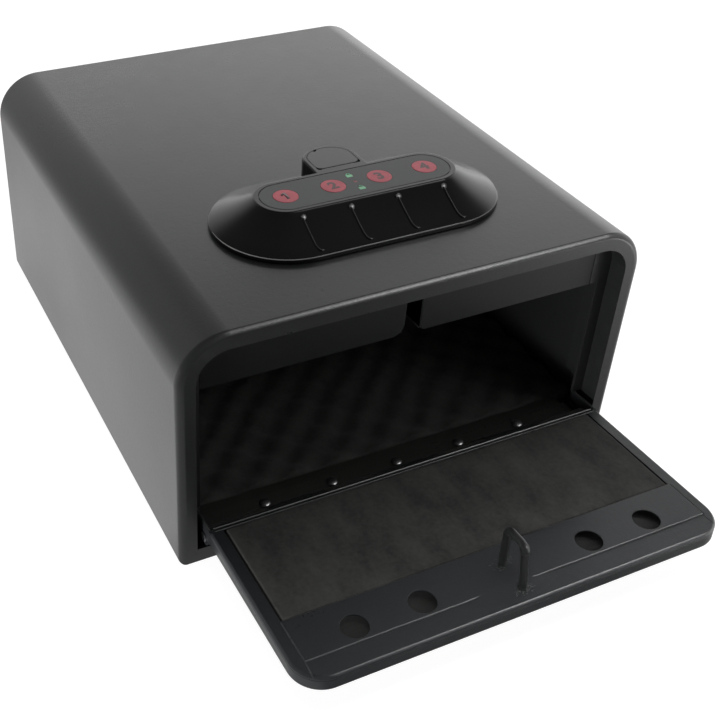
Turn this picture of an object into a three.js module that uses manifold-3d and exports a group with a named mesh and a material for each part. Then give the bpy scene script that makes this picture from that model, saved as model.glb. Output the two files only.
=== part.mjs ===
// A quick access safe: a folded steel box whose front door drops down, opened by four buttons on its top.
// Millimetres, +Z up. The origin is the centre of the underside, the doorway faces -Y, the door lies open.
import * as THREE from 'three';
import { mergeVertices } from 'three/addons/utils/BufferGeometryUtils.js';
import Module from 'manifold-3d';

const wasm = await Module();
wasm.setup();

// Clearances
const weldGap = 0.3;
const slideGap = 0.3;

// Steel box
const bodyWidth = 250;
const bodyHeight = 132.6;
const bodyDepth = 292.8;
const bodySheet = 2;
const topBendRadius = 25.5;
const rimWidth = 9;
const rimBendRadius = 2.8;
const frameStripHeight = 8;
const anchorHoleRadius = 4.5;
const anchorSpacingX = 150;
const anchorSpacingY = 180;

// Door hinge
const pivotAhead = 0.3;
const pivotHeight = 15.9;
const knuckleRadius = 4.4;
const hingePinRadius = 2.5;
const knuckleCount = 7;
const knuckleGap = 0.4;
const leafDepth = 16.5;
const openTilt = 2.2;
const rivetCount = 5;
const rivetSpacing = 37.7;
const rivetBehindPivot = 11;
const rivetRadius = 1.6;
const rivetHeadRadius = 2.9;

// Sill under the hinge
const sillDepth = 21;
const sillSheet = 1.5;

// Door
const doorSideGap = 3.4;
const doorTopGap = 3.8;
const doorThickness = 8.6;
const doorSheet = 1.5;
const doorCornerRadius = 15.5;
const doorEdgeRadius = 1.6;
const doorSideFlange = 6.6;
const doorEndFlange = 12;
const plateSideInset = 6;
const plateDepth = 23.3;
const plateThickness = 1.2;
const plateHoleRadius = 6.6;
const plateHolePlaces = [45, 78.7];
const plateHoleInset = 8.1;
const padThickness = 7.2;
const padStart = 8.1;
const padRise = 0.6;
const padUnderPlate = 1.4;

// Ears at the hinge end of the door, and the stops that they meet
const earReach = 13;
const earWidth = 5;
const stopEdge = 110;
const stopSheet = 1.5;
const stopLeg = 20;
const stopBelowBend = 1.5;
const doorRestGap = 1.4;

// Staple on the door
const stapleRodRadius = 1.9;
const stapleHeight = 24.5;
const stapleInset = 7.9;
const stapleSpan = 15.6;
const stapleBendRadius = 3.5;
const stapleLean = 2.4;
const weldBeadRadius = 2.4;

// Lock cover, a steel tray under the top, set a little to the left
const coverLeftWidth = 109.5;
const coverRightWidth = 104.8;
const coverDrop = 36.2;
const coverSheet = 1.2;
const coverBack = 122;
const slotHalfWidth = 4.6;
const slotClearAbove = 4.5;
const slotLeftRadius = 6.5;
const slotRightRadius = 2.5;
const coverTabDrop = 9.5;
const coverTabReach = 11;
const coverStudSpacing = 160;
const coverStudRadius = 2;
const coverStudBaseRadius = 5;
const coverStudBaseHeight = 1;
const coverStudTail = 4.6;
const coverNutAcross = 8;
const coverNutThickness = 3.2;

// Latch hook
const hookThickness = 4;
const hookPivotX = -8;
const hookPivotBack = 40;
const hookPostRadius = 2.5;
const hookHubRadius = 5.5;
const postFlangeRadius = 6;
const postFlangeHeight = 1.2;
const postShoulderRadius = 4.2;
const postAboveHook = 7;
const clipThickness = 1;
const springHeight = 4;
const springTurns = 3;
const hookArmWidth = 5;
const hookFingerFront = 23.5;
const hookFingerWidth = 4.5;
const hookFingerReach = 12.5;
const hookTailReach = 34;
const hookTailWidth = 6;
const hookSwing = 45;

const springWire = 0.6;

// Solenoid
const plungerRadius = 3;
const plungerBack = 61;
const plungerX = -1;
const solenoidWidth = 17;
const solenoidHeight = 14;

// Keypad housing on the top
const keypadHeight = 14.5;
const keypadHalfLength = 39.8;
const keypadBack = 71.5;
const keypadFlangeRadius = 37;
const keypadFlangeHeight = 2.4;
const keypadTopRadius = 15.2;
const keypadTopShift = 1.2;
const keypadWall = 2.4;
const keypadSag = 0.9;
const overlayRadius = 12.9;
const overlayThickness = 0.5;
const overlayRecess = 0.8;
const buttonInset = 0.95;
const buttonCount = 4;
const buttonRadius = 6.3;
const buttonCollar = 1;
const buttonTravel = 0.8;
const buttonRise = 0.45;
const lensRadius = 2.2;
const lensSpacing = 6.6;
const ribRadius = 0.75;
const ribHeadRadius = 1.35;
const ribHook = 3;

// Circuit board in the keypad
const boardOverhang = 8.2;
const boardWidth = 22;
const boardThickness = 1.6;
const boardRise = 5.6;
const boardPostRadius = 2.8;
const switchSize = 6;
const switchStemRadius = 1.7;
const switchStemHeight = 0.8;
const ledSize = 3;
const ledHeight = 1.2;
const lensCollar = 0.5;

// Screws
const boardScrewRadius = 1.2;
const boardScrewDepth = 5;
const housingScrewRadius = 1.8;
const housingScrewDepth = 8;
const housingScrewBeyond = 17;
const housingPostRadius = 4;
const screwHeadShare = 2.1;
const screwHeadHeight = 1.8;
const pilotSpare = 0.4;
const wireHoleRadius = 6;
const wireHoleX = -30;

// Key override behind the keypad
const keyBack = 100;
const bossHalfWidth = 14.6;
const bossEnd = 112.6;
const keyCoverHalfWidth = 12.2;
const keyCoverFront = 89.7;
const keyCoverEnd = 110.7;
const keyCoverThickness = 1.8;
const keyCoverSwing = 95;
const keyPocketRadius = 9.5;
const cylinderRadius = 8;
const cylinderFlangeThickness = 2;
const plugRadius = 5.5;
const keySlotLength = 7.4;
const keySlotWidth = 1.4;
const camReach = 27.5;
const camWidth = 7;
const camThickness = 3;
const camHubRadius = 7;
const plugTailRadius = 2.2;
const plugTailLength = 1.2;
const keySlotDepth = 7;
const keyNutAcross = 22;
const keyNutThickness = 4;
const camBelowCylinder = 2;

// Battery compartment
const cellRadius = 7.1;
const cellLength = 49.5;
const cellCount = 4;
const cellPitch = 15;
const batteryCentreX = 68;
const batteryCentreBack = 60;
const batteryWall = 1.5;
const batteryDrop = 3.4;
const batteryDoorThickness = 1.5;
const cellEndSpare = 3;
const trayFlange = 3;
const batteryDoorSink = 0.9;
const batteryDoorTongue = 0.8;
const gripLength = 18;
const gripWidth = 1.2;
const gripHeight = 0.7;
const gripPitch = 3;
const gripCount = 3;
const contactThickness = 0.6;
const contactHeight = 8;
const contactBumpRadius = 2.6;
const contactBumpHeight = 1.6;

// Floor mat
const matThickness = 11;
const matInset = 1.5;
const matPitch = 24;
const matWave = 5;

// Facets
const roundSegments = 22;
const bendSteps = 8;

// Places that follow from the sizes above
const frontY = -bodyDepth / 2;
const backY = bodyDepth / 2;
const halfWidth = bodyWidth / 2;
const ceiling = bodyHeight - bodySheet;
const openingHalf = halfWidth - rimWidth;
const pivotY = frontY - pivotAhead;
const leafThickness = knuckleRadius - hingePinRadius - slideGap;
const sillTop = pivotHeight - knuckleRadius - weldGap;
const doorHalf = openingHalf - doorSideGap;
const doorStart = knuckleRadius + weldGap;
const doorEnd = bodyHeight - rimWidth - doorTopGap - pivotHeight;
const stapleSecondLeg = doorEnd - stapleInset;
const stapleFirstLeg = stapleSecondLeg - stapleSpan;
const doorOuter = -slideGap;
const doorInner = doorOuter + doorThickness;
const plateTop = doorInner + weldGap + plateThickness;
const plateEnd = stapleSecondLeg - weldBeadRadius - 2 * weldGap;
const plateStart = plateEnd - plateDepth;
const hingeHalf = doorHalf - doorSheet - 2 * slideGap - weldGap;
const stopY = pivotY + plateTop + doorRestGap;
const tilt = THREE.MathUtils.degToRad(openTilt);
const jambEnd = stopY - weldGap;
const stopBottom = pivotHeight + doorInner * Math.cos(tilt) - (stopY - pivotY) * Math.sin(tilt) + weldGap;
const stapleTop = doorInner + stapleHeight;
const hookLevel = pivotHeight + (stapleFirstLeg + stapleSecondLeg) / 2;
const slotTop = pivotHeight + stapleSecondLeg + stapleRodRadius + slotClearAbove;
const stopTop = bodyHeight - topBendRadius - stopBelowBend;
const coverBottom = bodyHeight - coverDrop;
const keypadTop = bodyHeight + keypadHeight;
const buttonPitch = (2 * (keypadHalfLength - buttonInset)) / (buttonCount - 1);
const keypadY = frontY + keypadBack;
const keypadTopY = keypadY + keypadTopShift;
const housingScrewX = keypadHalfLength + housingScrewBeyond;
const boardTop = bodyHeight + boardRise;
const keyY = frontY + keyBack;

// Helpers

// Welds shared corners, drops collapsed faces and turns the faces outwards.
function closed(geometry) {
  const bare = new THREE.BufferGeometry();
  bare.setAttribute('position', geometry.getAttribute('position').clone());
  if (geometry.index) bare.setIndex(Array.from(geometry.index.array));
  const merged = mergeVertices(bare, 1e-4);
  const from = Array.from(merged.index.array);
  const points = merged.getAttribute('position');
  const corners = [new THREE.Vector3(), new THREE.Vector3(), new THREE.Vector3()];
  const kept = [];
  let volume = 0;
  for (let i = 0; i < from.length; i += 3) {
    const [a, b, c] = from.slice(i, i + 3);
    if (a === b || b === c || c === a) continue;
    corners.forEach((corner, k) => corner.fromBufferAttribute(points, from[i + k]));
    volume += corners[0].dot(corners[1].clone().cross(corners[2]));
    kept.push(a, b, c);
  }
  if (volume < 0) kept.reverse();
  merged.setIndex(kept);
  return merged;
}

function solidOf(geometry) {
  const merged = closed(geometry);
  const mesh = new wasm.Mesh({
    numProp: 3,
    vertProperties: new Float32Array(merged.getAttribute('position').array),
    triVerts: new Uint32Array(merged.index.array),
  });
  return new wasm.Manifold(mesh);
}

function geometryOf(solid) {
  const mesh = solid.getMesh();
  const geometry = new THREE.BufferGeometry();
  geometry.setAttribute('position', new THREE.BufferAttribute(new Float32Array(mesh.vertProperties), 3));
  geometry.setIndex(Array.from(mesh.triVerts));
  return geometry;
}

const cut = (base, ...tools) =>
  geometryOf(tools.reduce((solid, tool) => solid.subtract(solidOf(tool)), solidOf(base)));

const join = (base, ...others) =>
  geometryOf(others.reduce((solid, other) => solid.add(solidOf(other)), solidOf(base)));

const common = (base, other) => geometryOf(solidOf(base).intersect(solidOf(other)));

function block(x0, x1, y0, y1, z0, z1) {
  const geometry = new THREE.BoxGeometry(x1 - x0, y1 - y0, z1 - z0);
  return geometry.translate((x0 + x1) / 2, (y0 + y1) / 2, (z0 + z1) / 2);
}

function extruded(shape, depth) {
  return new THREE.ExtrudeGeometry(shape, { depth, bevelEnabled: false, curveSegments: bendSteps });
}

// A shape in X and Y, raised from z0 to z1.
const alongZ = (shape, z0, z1) => extruded(shape, z1 - z0).translate(0, 0, z0);

// A shape in X and Z, carried from y0 to y1.
function alongY(shape, y0, y1) {
  const axes = new THREE.Matrix4().makeBasis(
    new THREE.Vector3(1, 0, 0), new THREE.Vector3(0, 0, 1), new THREE.Vector3(0, 1, 0));
  return extruded(shape, y1 - y0).applyMatrix4(axes).translate(0, y0, 0);
}

// A shape in Y and Z, carried from x0 to x1.
function alongX(shape, x0, x1) {
  const axes = new THREE.Matrix4().makeBasis(
    new THREE.Vector3(0, 1, 0), new THREE.Vector3(0, 0, 1), new THREE.Vector3(1, 0, 0));
  return extruded(shape, x1 - x0).applyMatrix4(axes).translate(x0, 0, 0);
}

function outline(points) {
  return new THREE.Shape(points.map(([a, b]) => new THREE.Vector2(a, b)));
}

function roundPoints(radius, segments = roundSegments) {
  return Array.from({ length: segments }, (_, i) => {
    const angle = (2 * Math.PI * i) / segments;
    return [radius * Math.cos(angle), radius * Math.sin(angle)];
  });
}

function disc(radius, x = 0, y = 0, segments = roundSegments) {
  return outline(roundPoints(radius, segments).map(([a, b]) => [x + a, y + b]));
}

// A solid turned round Z, from pairs of radius and height.
function turned(profile, segments = roundSegments) {
  const points = profile.map(([radius, height]) => new THREE.Vector2(radius, height));
  return new THREE.LatheGeometry(points, segments).rotateX(Math.PI / 2);
}

function post(radius, z0, z1, x, y, segments = roundSegments) {
  return turned([[0, z0], [radius, z0], [radius, z1], [0, z1]], segments).translate(x, y, 0);
}

// Rings of equal count, stacked and capped. Each ring is a list of X and Y, with its own height.
function stacked(rings) {
  const count = rings[0].points.length;
  const positions = [];
  const faces = [];
  rings.forEach(({ points, z }) => points.forEach(([x, y]) => positions.push(x, y, z)));
  for (let level = 0; level < rings.length - 1; level += 1) {
    for (let i = 0; i < count; i += 1) {
      const next = (i + 1) % count;
      const a = level * count + i;
      const b = level * count + next;
      faces.push(a, b, b + count, a, b + count, a + count);
    }
  }
  const cap = (ring, start, flip) => {
    const flat = ring.points.map(([x, y]) => new THREE.Vector2(x, y));
    THREE.ShapeUtils.triangulateShape(flat, []).forEach(([a, b, c]) => {
      faces.push(...(flip ? [start + c, start + b, start + a] : [start + a, start + b, start + c]));
    });
  };
  cap(rings[0], 0, true);
  cap(rings[rings.length - 1], (rings.length - 1) * count, false);
  const geometry = new THREE.BufferGeometry();
  geometry.setAttribute('position', new THREE.Float32BufferAttribute(positions, 3));
  geometry.setIndex(faces);
  return geometry;
}

function stadiumPoints(halfLength, radius, y = 0, steps = 8) {
  const points = [];
  for (const side of [1, -1]) {
    for (let i = 0; i <= steps; i += 1) {
      const angle = Math.PI * (i / steps - 0.5);
      points.push([side * (halfLength + radius * Math.cos(angle)), y + side * radius * Math.sin(angle)]);
    }
  }
  return points;
}

const stadium = (halfLength, radius, y) => outline(stadiumPoints(halfLength, radius, y));

// A flat end at y0 and a half oval at y1.
function archPoints(half, y0, y1, steps = 12) {
  const spring = y1 - half * 0.8;
  const points = [[-half, y0], [half, y0]];
  for (let i = 0; i <= steps; i += 1) {
    const angle = (Math.PI * i) / steps;
    points.push([half * Math.cos(angle), spring + (y1 - spring) * Math.sin(angle)]);
  }
  return points;
}

// The cross-section of the box: straight sides and a top with two round corners, set in by inset.
function wrapPath(inset, bottom = 0) {
  const radius = topBendRadius - inset;
  const points = [[-halfWidth + inset, bottom]];
  const corners = [[-1, Math.PI], [1, Math.PI / 2]];
  for (const [side, start] of corners) {
    for (let i = 0; i <= bendSteps; i += 1) {
      const angle = start - (Math.PI / 2) * (i / bendSteps);
      points.push([
        side * (halfWidth - topBendRadius) + radius * Math.cos(angle),
        bodyHeight - topBendRadius + radius * Math.sin(angle),
      ]);
    }
  }
  points.push([halfWidth - inset, bottom]);
  return points;
}

// A closed section of pairs of inset and Y, carried round the wrap.
function sweptRound(section) {
  const count = section.length;
  const paths = section.map(([inset]) => wrapPath(inset));
  const stations = paths[0].length;
  const positions = [];
  const faces = [];
  for (let i = 0; i < stations; i += 1) {
    section.forEach(([, y], j) => positions.push(paths[j][i][0], y, paths[j][i][1]));
  }
  for (let i = 0; i < stations - 1; i += 1) {
    for (let j = 0; j < count; j += 1) {
      const next = (j + 1) % count;
      const a = i * count + j;
      const b = i * count + next;
      faces.push(a, b, b + count, a, b + count, a + count);
    }
  }
  const flat = section.map(([inset, y]) => new THREE.Vector2(inset, y));
  const last = (stations - 1) * count;
  const clockwise = THREE.ShapeUtils.isClockWise(flat);
  THREE.ShapeUtils.triangulateShape(flat, []).forEach(([a, b, c]) => {
    faces.push(...(clockwise ? [a, b, c] : [c, b, a]));
    faces.push(...(clockwise ? [last + c, last + b, last + a] : [last + a, last + b, last + c]));
  });
  const geometry = new THREE.BufferGeometry();
  geometry.setAttribute('position', new THREE.Float32BufferAttribute(positions, 3));
  geometry.setIndex(faces);
  return geometry;
}

// A round rod along a path of points.
function rod(points, radius, steps, sides = 10) {
  const path = new THREE.CatmullRomCurve3(points.map(([x, y, z]) => new THREE.Vector3(x, y, z)));
  return new THREE.ExtrudeGeometry(disc(radius, 0, 0, sides), { steps, extrudePath: path });
}

// Materials

function finish(color, roughness, metalness) {
  return new THREE.MeshStandardMaterial({ color, roughness, metalness });
}

const powderCoat = finish(0x2b2d2c, 0.5, 0.2);
const satinPlastic = finish(0x1c1d1d, 0.32, 0);
const overlayPlastic = finish(0x303236, 0.45, 0);
const redPlastic = finish(0xb63a44, 0.5, 0);
const lensPlastic = finish(0x4fc27a, 0.3, 0);
const foam = finish(0x2a2826, 0.95, 0);
const zincSteel = finish(0xa8abad, 0.35, 0.9);
const brass = finish(0xb08d4a, 0.35, 0.9);
const boardGreen = finish(0x1f5a38, 0.6, 0);
const cellWrap = finish(0x2f4a6b, 0.4, 0.3);
const copper = finish(0x9a5a34, 0.4, 0.8);

const safe = new THREE.Group();

function add(name, geometry, material, parent = safe) {
  const mesh = new THREE.Mesh(closed(geometry), material);
  mesh.name = name;
  parent.add(mesh);
  return mesh;
}

// A group with its origin at a pivot, turned as the part lies at rest.
function turnedGroup(x, y, z) {
  const group = new THREE.Group();
  group.position.set(x, y, z);
  safe.add(group);
  return group;
}

// Steel box

// The wrap turns in at the front as a rim, and the rim turns back again as the doorway's jamb.
function bodyShell() {
  const bend = rimBendRadius;
  const inner = Math.max(bend - bodySheet, 0.2);
  const section = [[0, backY]];
  const quarter = (radius, from, to) => {
    for (let i = 0; i <= 4; i += 1) {
      const angle = from + ((to - from) * i) / 4;
      section.push([bend + radius * Math.cos(angle), frontY + bend + radius * Math.sin(angle)]);
    }
  };
  quarter(bend, Math.PI, 1.5 * Math.PI);
  const jamb = rimWidth - bodySheet;
  section.push([rimWidth, frontY], [rimWidth, jambEnd], [jamb, jambEnd], [jamb, frontY + bodySheet]);
  quarter(inner, 1.5 * Math.PI, Math.PI);
  section.push([bodySheet, backY]);
  const strip = block(-openingHalf - 1, openingHalf + 1, frontY, frontY + bodySheet, 0, frameStripHeight);
  const holes = [
    post(cylinderRadius + slideGap, ceiling - 1, bodyHeight + 1, 0, keyY),
    post(wireHoleRadius, ceiling - 1, bodyHeight + 1, wireHoleX, keypadY),
    ...[-1, 1].map((side) =>
      post(housingScrewRadius + slideGap, ceiling - 1, bodyHeight + 1, side * housingScrewX, keypadY, 16)),
  ];
  const overFloor = [-1, 1].map((side) => {
    const edges = [side * (openingHalf - 1), side * (halfWidth - bodySheet)].sort((a, b) => a - b);
    return block(...edges, frontY + bodySheet, jambEnd + 1, -1, bodySheet + weldGap);
  });
  return cut(join(sweptRound(section), strip), ...holes, ...overFloor);
}

function backPanel() {
  const shape = outline(wrapPath(bodySheet + weldGap, bodySheet + weldGap));
  return alongY(shape, backY - bodySheet, backY);
}

function anchorPlaces() {
  return [-1, 1].flatMap((sx) => [-1, 1].map((sy) => [sx * anchorSpacingX / 2, sy * anchorSpacingY / 2]));
}

function floorPan() {
  const side = halfWidth - bodySheet - weldGap;
  const plate = block(-side, side, sillFront, backY, 0, bodySheet);
  return cut(plate, ...anchorPlaces().map(([x, y]) => post(anchorHoleRadius, -1, bodySheet + 1, x, y, 20)));
}

function rivetPlaces() {
  return Array.from({ length: rivetCount }, (_, i) => (i - (rivetCount - 1) / 2) * rivetSpacing);
}

const sillFront = frontY + bodySheet + 2 * weldGap;
const sillBack = sillFront + sillDepth;

function sillChannel() {
  const bottom = bodySheet + weldGap;
  const web = sillSheet;
  const shape = outline([
    [sillFront, bottom], [sillFront + web, bottom], [sillFront + web, sillTop - web],
    [sillBack - web, sillTop - web], [sillBack - web, bottom], [sillBack, bottom],
    [sillBack, sillTop], [sillFront, sillTop],
  ]);
  const holes = rivetPlaces().map((x) =>
    post(rivetRadius + slideGap, sillTop - web - 1, sillTop + 1, x, pivotY + rivetBehindPivot, 14));
  return cut(alongX(shape, -hingeHalf, hingeHalf), ...holes);
}

// Hinge

const knuckleLength = (2 * hingeHalf) / knuckleCount;

function knuckleSpans(first) {
  const spans = [];
  for (let i = first; i < knuckleCount; i += 2) {
    const start = -hingeHalf + i * knuckleLength;
    spans.push([start + (i ? knuckleGap / 2 : 0), start + knuckleLength - (i < knuckleCount - 1 ? knuckleGap / 2 : 0)]);
  }
  return spans;
}

function knuckleRing(x0, x1) {
  const ring = disc(knuckleRadius, 0, 0, 16);
  ring.holes.push(disc(knuckleRadius - leafThickness, 0, 0, 16));
  return alongX(ring, x0, x1);
}

function hingeLeafFixed() {
  const low = -knuckleRadius;
  const clear = knuckleRadius + knuckleGap;
  const plate = block(-hingeHalf, hingeHalf, clear, leafDepth, low, low + leafThickness);
  const knuckles = knuckleSpans(0).flatMap(([x0, x1]) => [
    knuckleRing(x0, x1),
    block(x0, x1, 0, clear + 0.5, low, low + leafThickness),
  ]);
  const holes = rivetPlaces().map((x) =>
    post(rivetRadius + slideGap, low - 1, low + leafThickness + 1, x, rivetBehindPivot, 14));
  const bore = alongX(disc(knuckleRadius - leafThickness, 0, 0, 16), -hingeHalf - 1, hingeHalf + 1);
  return cut(join(plate, ...knuckles), bore, ...holes).translate(0, pivotY, pivotHeight);
}

function hingePin() {
  const length = doorHalf + 0.8;
  return alongX(disc(hingePinRadius, 0, 0, 16), -length, length).translate(0, pivotY, pivotHeight);
}

function sillRivet() {
  const top = pivotHeight - knuckleRadius + leafThickness + weldGap;
  const tail = sillTop - sillSheet - weldGap;
  return turned([
    [0, tail - 1], [rivetHeadRadius * 0.8, tail - 1], [rivetHeadRadius * 0.8, tail], [rivetRadius, tail],
    [rivetRadius, top], [rivetHeadRadius, top], [rivetHeadRadius * 0.87, top + 0.7],
    [rivetHeadRadius * 0.5, top + 1.25], [0, top + 1.45],
  ], 10);
}

// Stops behind the rim, one at each side. Their faces reach in to the lock cover and up to the top.

function doorStop(side) {
  const wall = halfWidth - bodySheet - weldGap;
  const coverEnd = (side > 0 ? coverRightWidth : coverLeftWidth) + weldGap;
  const face = block(stopEdge, wall, stopY, stopY + stopSheet, stopBottom, stopTop);
  const upper = block(coverEnd, wall, stopY, stopY + stopSheet, coverBottom, bodyHeight);
  const inside = alongY(outline(wrapPath(bodySheet + weldGap)), frontY, backY);
  const leg = block(wall - stopSheet, wall, stopY, stopY + stopLeg, stopBottom, stopTop);
  return join(face, common(upper, inside), leg).scale(side, 1, 1);
}

// Door, drawn shut with X across, Y inwards and Z up from the pivot, then laid open

const doorGroup = turnedGroup(0, pivotY, pivotHeight);
doorGroup.rotation.x = Math.PI / 2 - tilt;

// The door's outline with square corners at the hinge and round ones at the top.
function doorOutline(inset, bottomInset = inset, topInset = inset) {
  const half = doorHalf - inset;
  const top = doorEnd - topInset;
  const radius = Math.max(doorCornerRadius - inset, 0.5);
  const points = [[-half, doorStart + bottomInset], [half, doorStart + bottomInset]];
  for (const [side, start] of [[1, 0], [-1, Math.PI / 2]]) {
    for (let i = 0; i <= bendSteps; i += 1) {
      const angle = start + (Math.PI / 2) * (i / bendSteps);
      points.push([side * (half - radius) + radius * Math.cos(angle), top - radius + radius * Math.sin(angle)]);
    }
  }
  return points;
}

// Rings are stacked along Y instead of Z.
const stackedInwards = (rings) => stacked(rings).applyMatrix4(new THREE.Matrix4().makeBasis(
  new THREE.Vector3(1, 0, 0), new THREE.Vector3(0, 0, 1), new THREE.Vector3(0, 1, 0)));

function doorEar() {
  const start = doorStart + doorEdgeRadius + 1;
  const shape = outline([
    [doorOuter + doorEdgeRadius, start], [-knuckleRadius * 0.7, knuckleRadius * 0.7], [-knuckleRadius, 0],
    [-knuckleRadius * 0.7, -knuckleRadius * 0.7], [0, -knuckleRadius],
    [knuckleRadius * 0.6, -knuckleRadius * 1.15],
    [doorInner - earWidth, -earReach + 1], [doorInner - earWidth + 1, -earReach],
    [doorInner - 1, -earReach], [doorInner, -earReach + 1], [doorInner, start],
  ]);
  shape.holes.push(disc(hingePinRadius + slideGap, 0, 0, 16));
  return alongX(shape, doorHalf - doorSheet, doorHalf);
}

function doorPan() {
  const rings = [];
  const bead = doorEdgeRadius;
  for (let i = 0; i <= 3; i += 1) {
    const angle = (Math.PI / 2) * (i / 3);
    rings.push({ points: doorOutline(bead * (1 - Math.sin(angle))), z: doorOuter + bead * (1 - Math.cos(angle)) });
  }
  for (let i = 0; i <= 3; i += 1) {
    const angle = (Math.PI / 2) * (i / 3);
    rings.push({ points: doorOutline(bead * (1 - Math.cos(angle))), z: doorInner - bead * (1 - Math.sin(angle)) });
  }
  const hollow = doorOutline(doorSheet);
  const mouth = doorOutline(doorSideFlange, padStart - doorStart - 1, doorEndFlange);
  const cavity = stackedInwards([
    { points: hollow, z: doorOuter + doorSheet }, { points: hollow, z: doorInner - doorSheet }]);
  const opening = stackedInwards([
    { points: mouth, z: doorInner - doorSheet - 1 }, { points: mouth, z: doorInner + 1 }]);
  const ears = [doorEar(), doorEar().scale(-1, 1, 1)];
  return join(cut(stackedInwards(rings), cavity, opening), ...ears);
}

function hingeLeafDoor() {
  const near = knuckleRadius - leafThickness;
  const clear = knuckleRadius + knuckleGap;
  const plate = block(-hingeHalf, hingeHalf, clear, doorInner - 1, near, knuckleRadius);
  const knuckles = knuckleSpans(1).flatMap(([x0, x1]) => [
    knuckleRing(x0, x1),
    block(x0, x1, 0, clear + 0.5, near, knuckleRadius),
  ]);
  const bore = alongX(disc(near, 0, 0, 16), -hingeHalf - 1, hingeHalf + 1);
  return cut(join(plate, ...knuckles), bore);
}

function doorInnerPlate() {
  const half = doorHalf - plateSideInset;
  const shape = outline([
    [-half, plateStart], [half, plateStart], [half, plateEnd], [-half, plateEnd]]);
  for (const place of plateHolePlaces) {
    shape.holes.push(disc(plateHoleRadius, place, plateEnd - plateHoleInset));
    shape.holes.push(disc(plateHoleRadius, -place, plateEnd - plateHoleInset));
  }
  return alongY(shape, plateTop - plateThickness, plateTop);
}

// The pad stands proud between the flanges and runs on, thinner, under the plate.
function doorPad() {
  const half = doorHalf - doorSideFlange - slideGap;
  const top = doorInner + padRise;
  const low = top - padThickness;
  const under = plateTop - plateThickness - padUnderPlate;
  const shape = doorOutline(
    doorSideFlange + slideGap, plateStart - 2 * weldGap - doorStart, doorEndFlange + slideGap);
  const thin = stackedInwards([{ points: shape, z: low }, { points: shape, z: under }]);
  return join(block(-half, half, low, top, padStart, plateStart - weldGap), thin);
}

// A bent rod on two weld beads. Its far leg leans in a little.
function stapleLoop() {
  const low = stapleFirstLeg;
  const farFoot = stapleSecondLeg;
  const high = farFoot - stapleLean;
  const reach = stapleTop - stapleRodRadius;
  const bend = Math.min(stapleBendRadius, (high - low) / 2 - 0.1);
  const nearFoot = plateTop + weldGap;
  const path = new THREE.CurvePath();
  const at = (y, z) => new THREE.Vector3(0, y, z);
  path.add(new THREE.LineCurve3(at(nearFoot, low), at(reach - bend, low)));
  path.add(new THREE.QuadraticBezierCurve3(at(reach - bend, low), at(reach, low), at(reach, low + bend)));
  path.add(new THREE.LineCurve3(at(reach, low + bend), at(reach, high - bend)));
  path.add(new THREE.QuadraticBezierCurve3(at(reach, high - bend), at(reach, high), at(reach - bend, high)));
  path.add(new THREE.LineCurve3(at(reach - bend, high), at(doorInner + weldGap, farFoot)));
  const loop = new THREE.ExtrudeGeometry(disc(stapleRodRadius, 0, 0, 8), { steps: 18, extrudePath: path });
  const bead = (from, z) => turned([
    [0, 0], [weldBeadRadius, 0], [weldBeadRadius * 0.95, 0.8], [stapleRodRadius + 0.3, 2.4], [0, 2.4],
  ], 12).rotateX(-Math.PI / 2).translate(0, from, z);
  return join(loop, bead(nearFoot, low), bead(doorInner + weldGap, farFoot));
}

// Lock cover

function roundedSlot(y0, y1) {
  const shape = new THREE.Shape();
  const bottom = coverBottom;
  const left = slotLeftRadius;
  const right = slotRightRadius;
  shape.moveTo(-slotHalfWidth - left, bottom - 1);
  shape.lineTo(-slotHalfWidth - left, bottom);
  shape.absarc(-slotHalfWidth - left, bottom + left, left, -Math.PI / 2, 0, false);
  shape.lineTo(-slotHalfWidth, slotTop);
  shape.lineTo(slotHalfWidth, slotTop);
  shape.absarc(slotHalfWidth + right, bottom + right, right, Math.PI, 1.5 * Math.PI, false);
  shape.lineTo(slotHalfWidth + right, bottom - 1);
  return alongY(shape, y0, y1);
}

const cellBayHalfX = (cellCount * cellPitch) / 2 + slideGap;
const cellBayHalfY = cellLength / 2 + cellEndSpare;
const trayHalfX = cellBayHalfX + batteryWall;
const trayHalfY = cellBayHalfY + batteryWall;
const batteryY = frontY + batteryCentreBack;

function coverStudPlaces() {
  return [-1, 1].map((side) => [side * coverStudSpacing / 2, frontY + coverBack + coverTabReach / 2]);
}

function lockCover() {
  const back = frontY + coverBack;
  const left = -coverLeftWidth;
  const right = coverRightWidth;
  const t = coverSheet;
  const tabZ = ceiling - coverTabDrop;
  const walls = join(
    block(left, right, stopY, stopY + t, coverBottom, bodyHeight),
    block(left, right, stopY, back, coverBottom, coverBottom + t),
    block(left, right, back - t, back, coverBottom, tabZ),
    block(left, left + t, stopY, back, coverBottom, bodyHeight),
    block(right - t, right, stopY, back, coverBottom, bodyHeight),
    block(left, right, back - t, back + coverTabReach, tabZ - t, tabZ));
  const inside = alongY(outline(wrapPath(bodySheet + weldGap)), frontY, backY);
  const batteryOpening = block(
    batteryCentreX - trayHalfX - slideGap, batteryCentreX + trayHalfX + slideGap,
    batteryY - trayHalfY - slideGap, batteryY + trayHalfY + slideGap, coverBottom - 1, coverBottom + t + 1);
  const staplePath = block(-slotHalfWidth, slotHalfWidth, stopY - 1,
    pivotY + stapleTop + doorRestGap + 1.5, coverBottom - 1, coverBottom + t + 1);
  const studHoles = coverStudPlaces().map(([x, y]) =>
    post(coverStudRadius + slideGap, tabZ - t - 1, tabZ + 1, x, y, 14));
  return cut(common(walls, inside), roundedSlot(stopY - 1, stopY + t + 0.5), batteryOpening, staplePath,
    ...studHoles);
}

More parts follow.
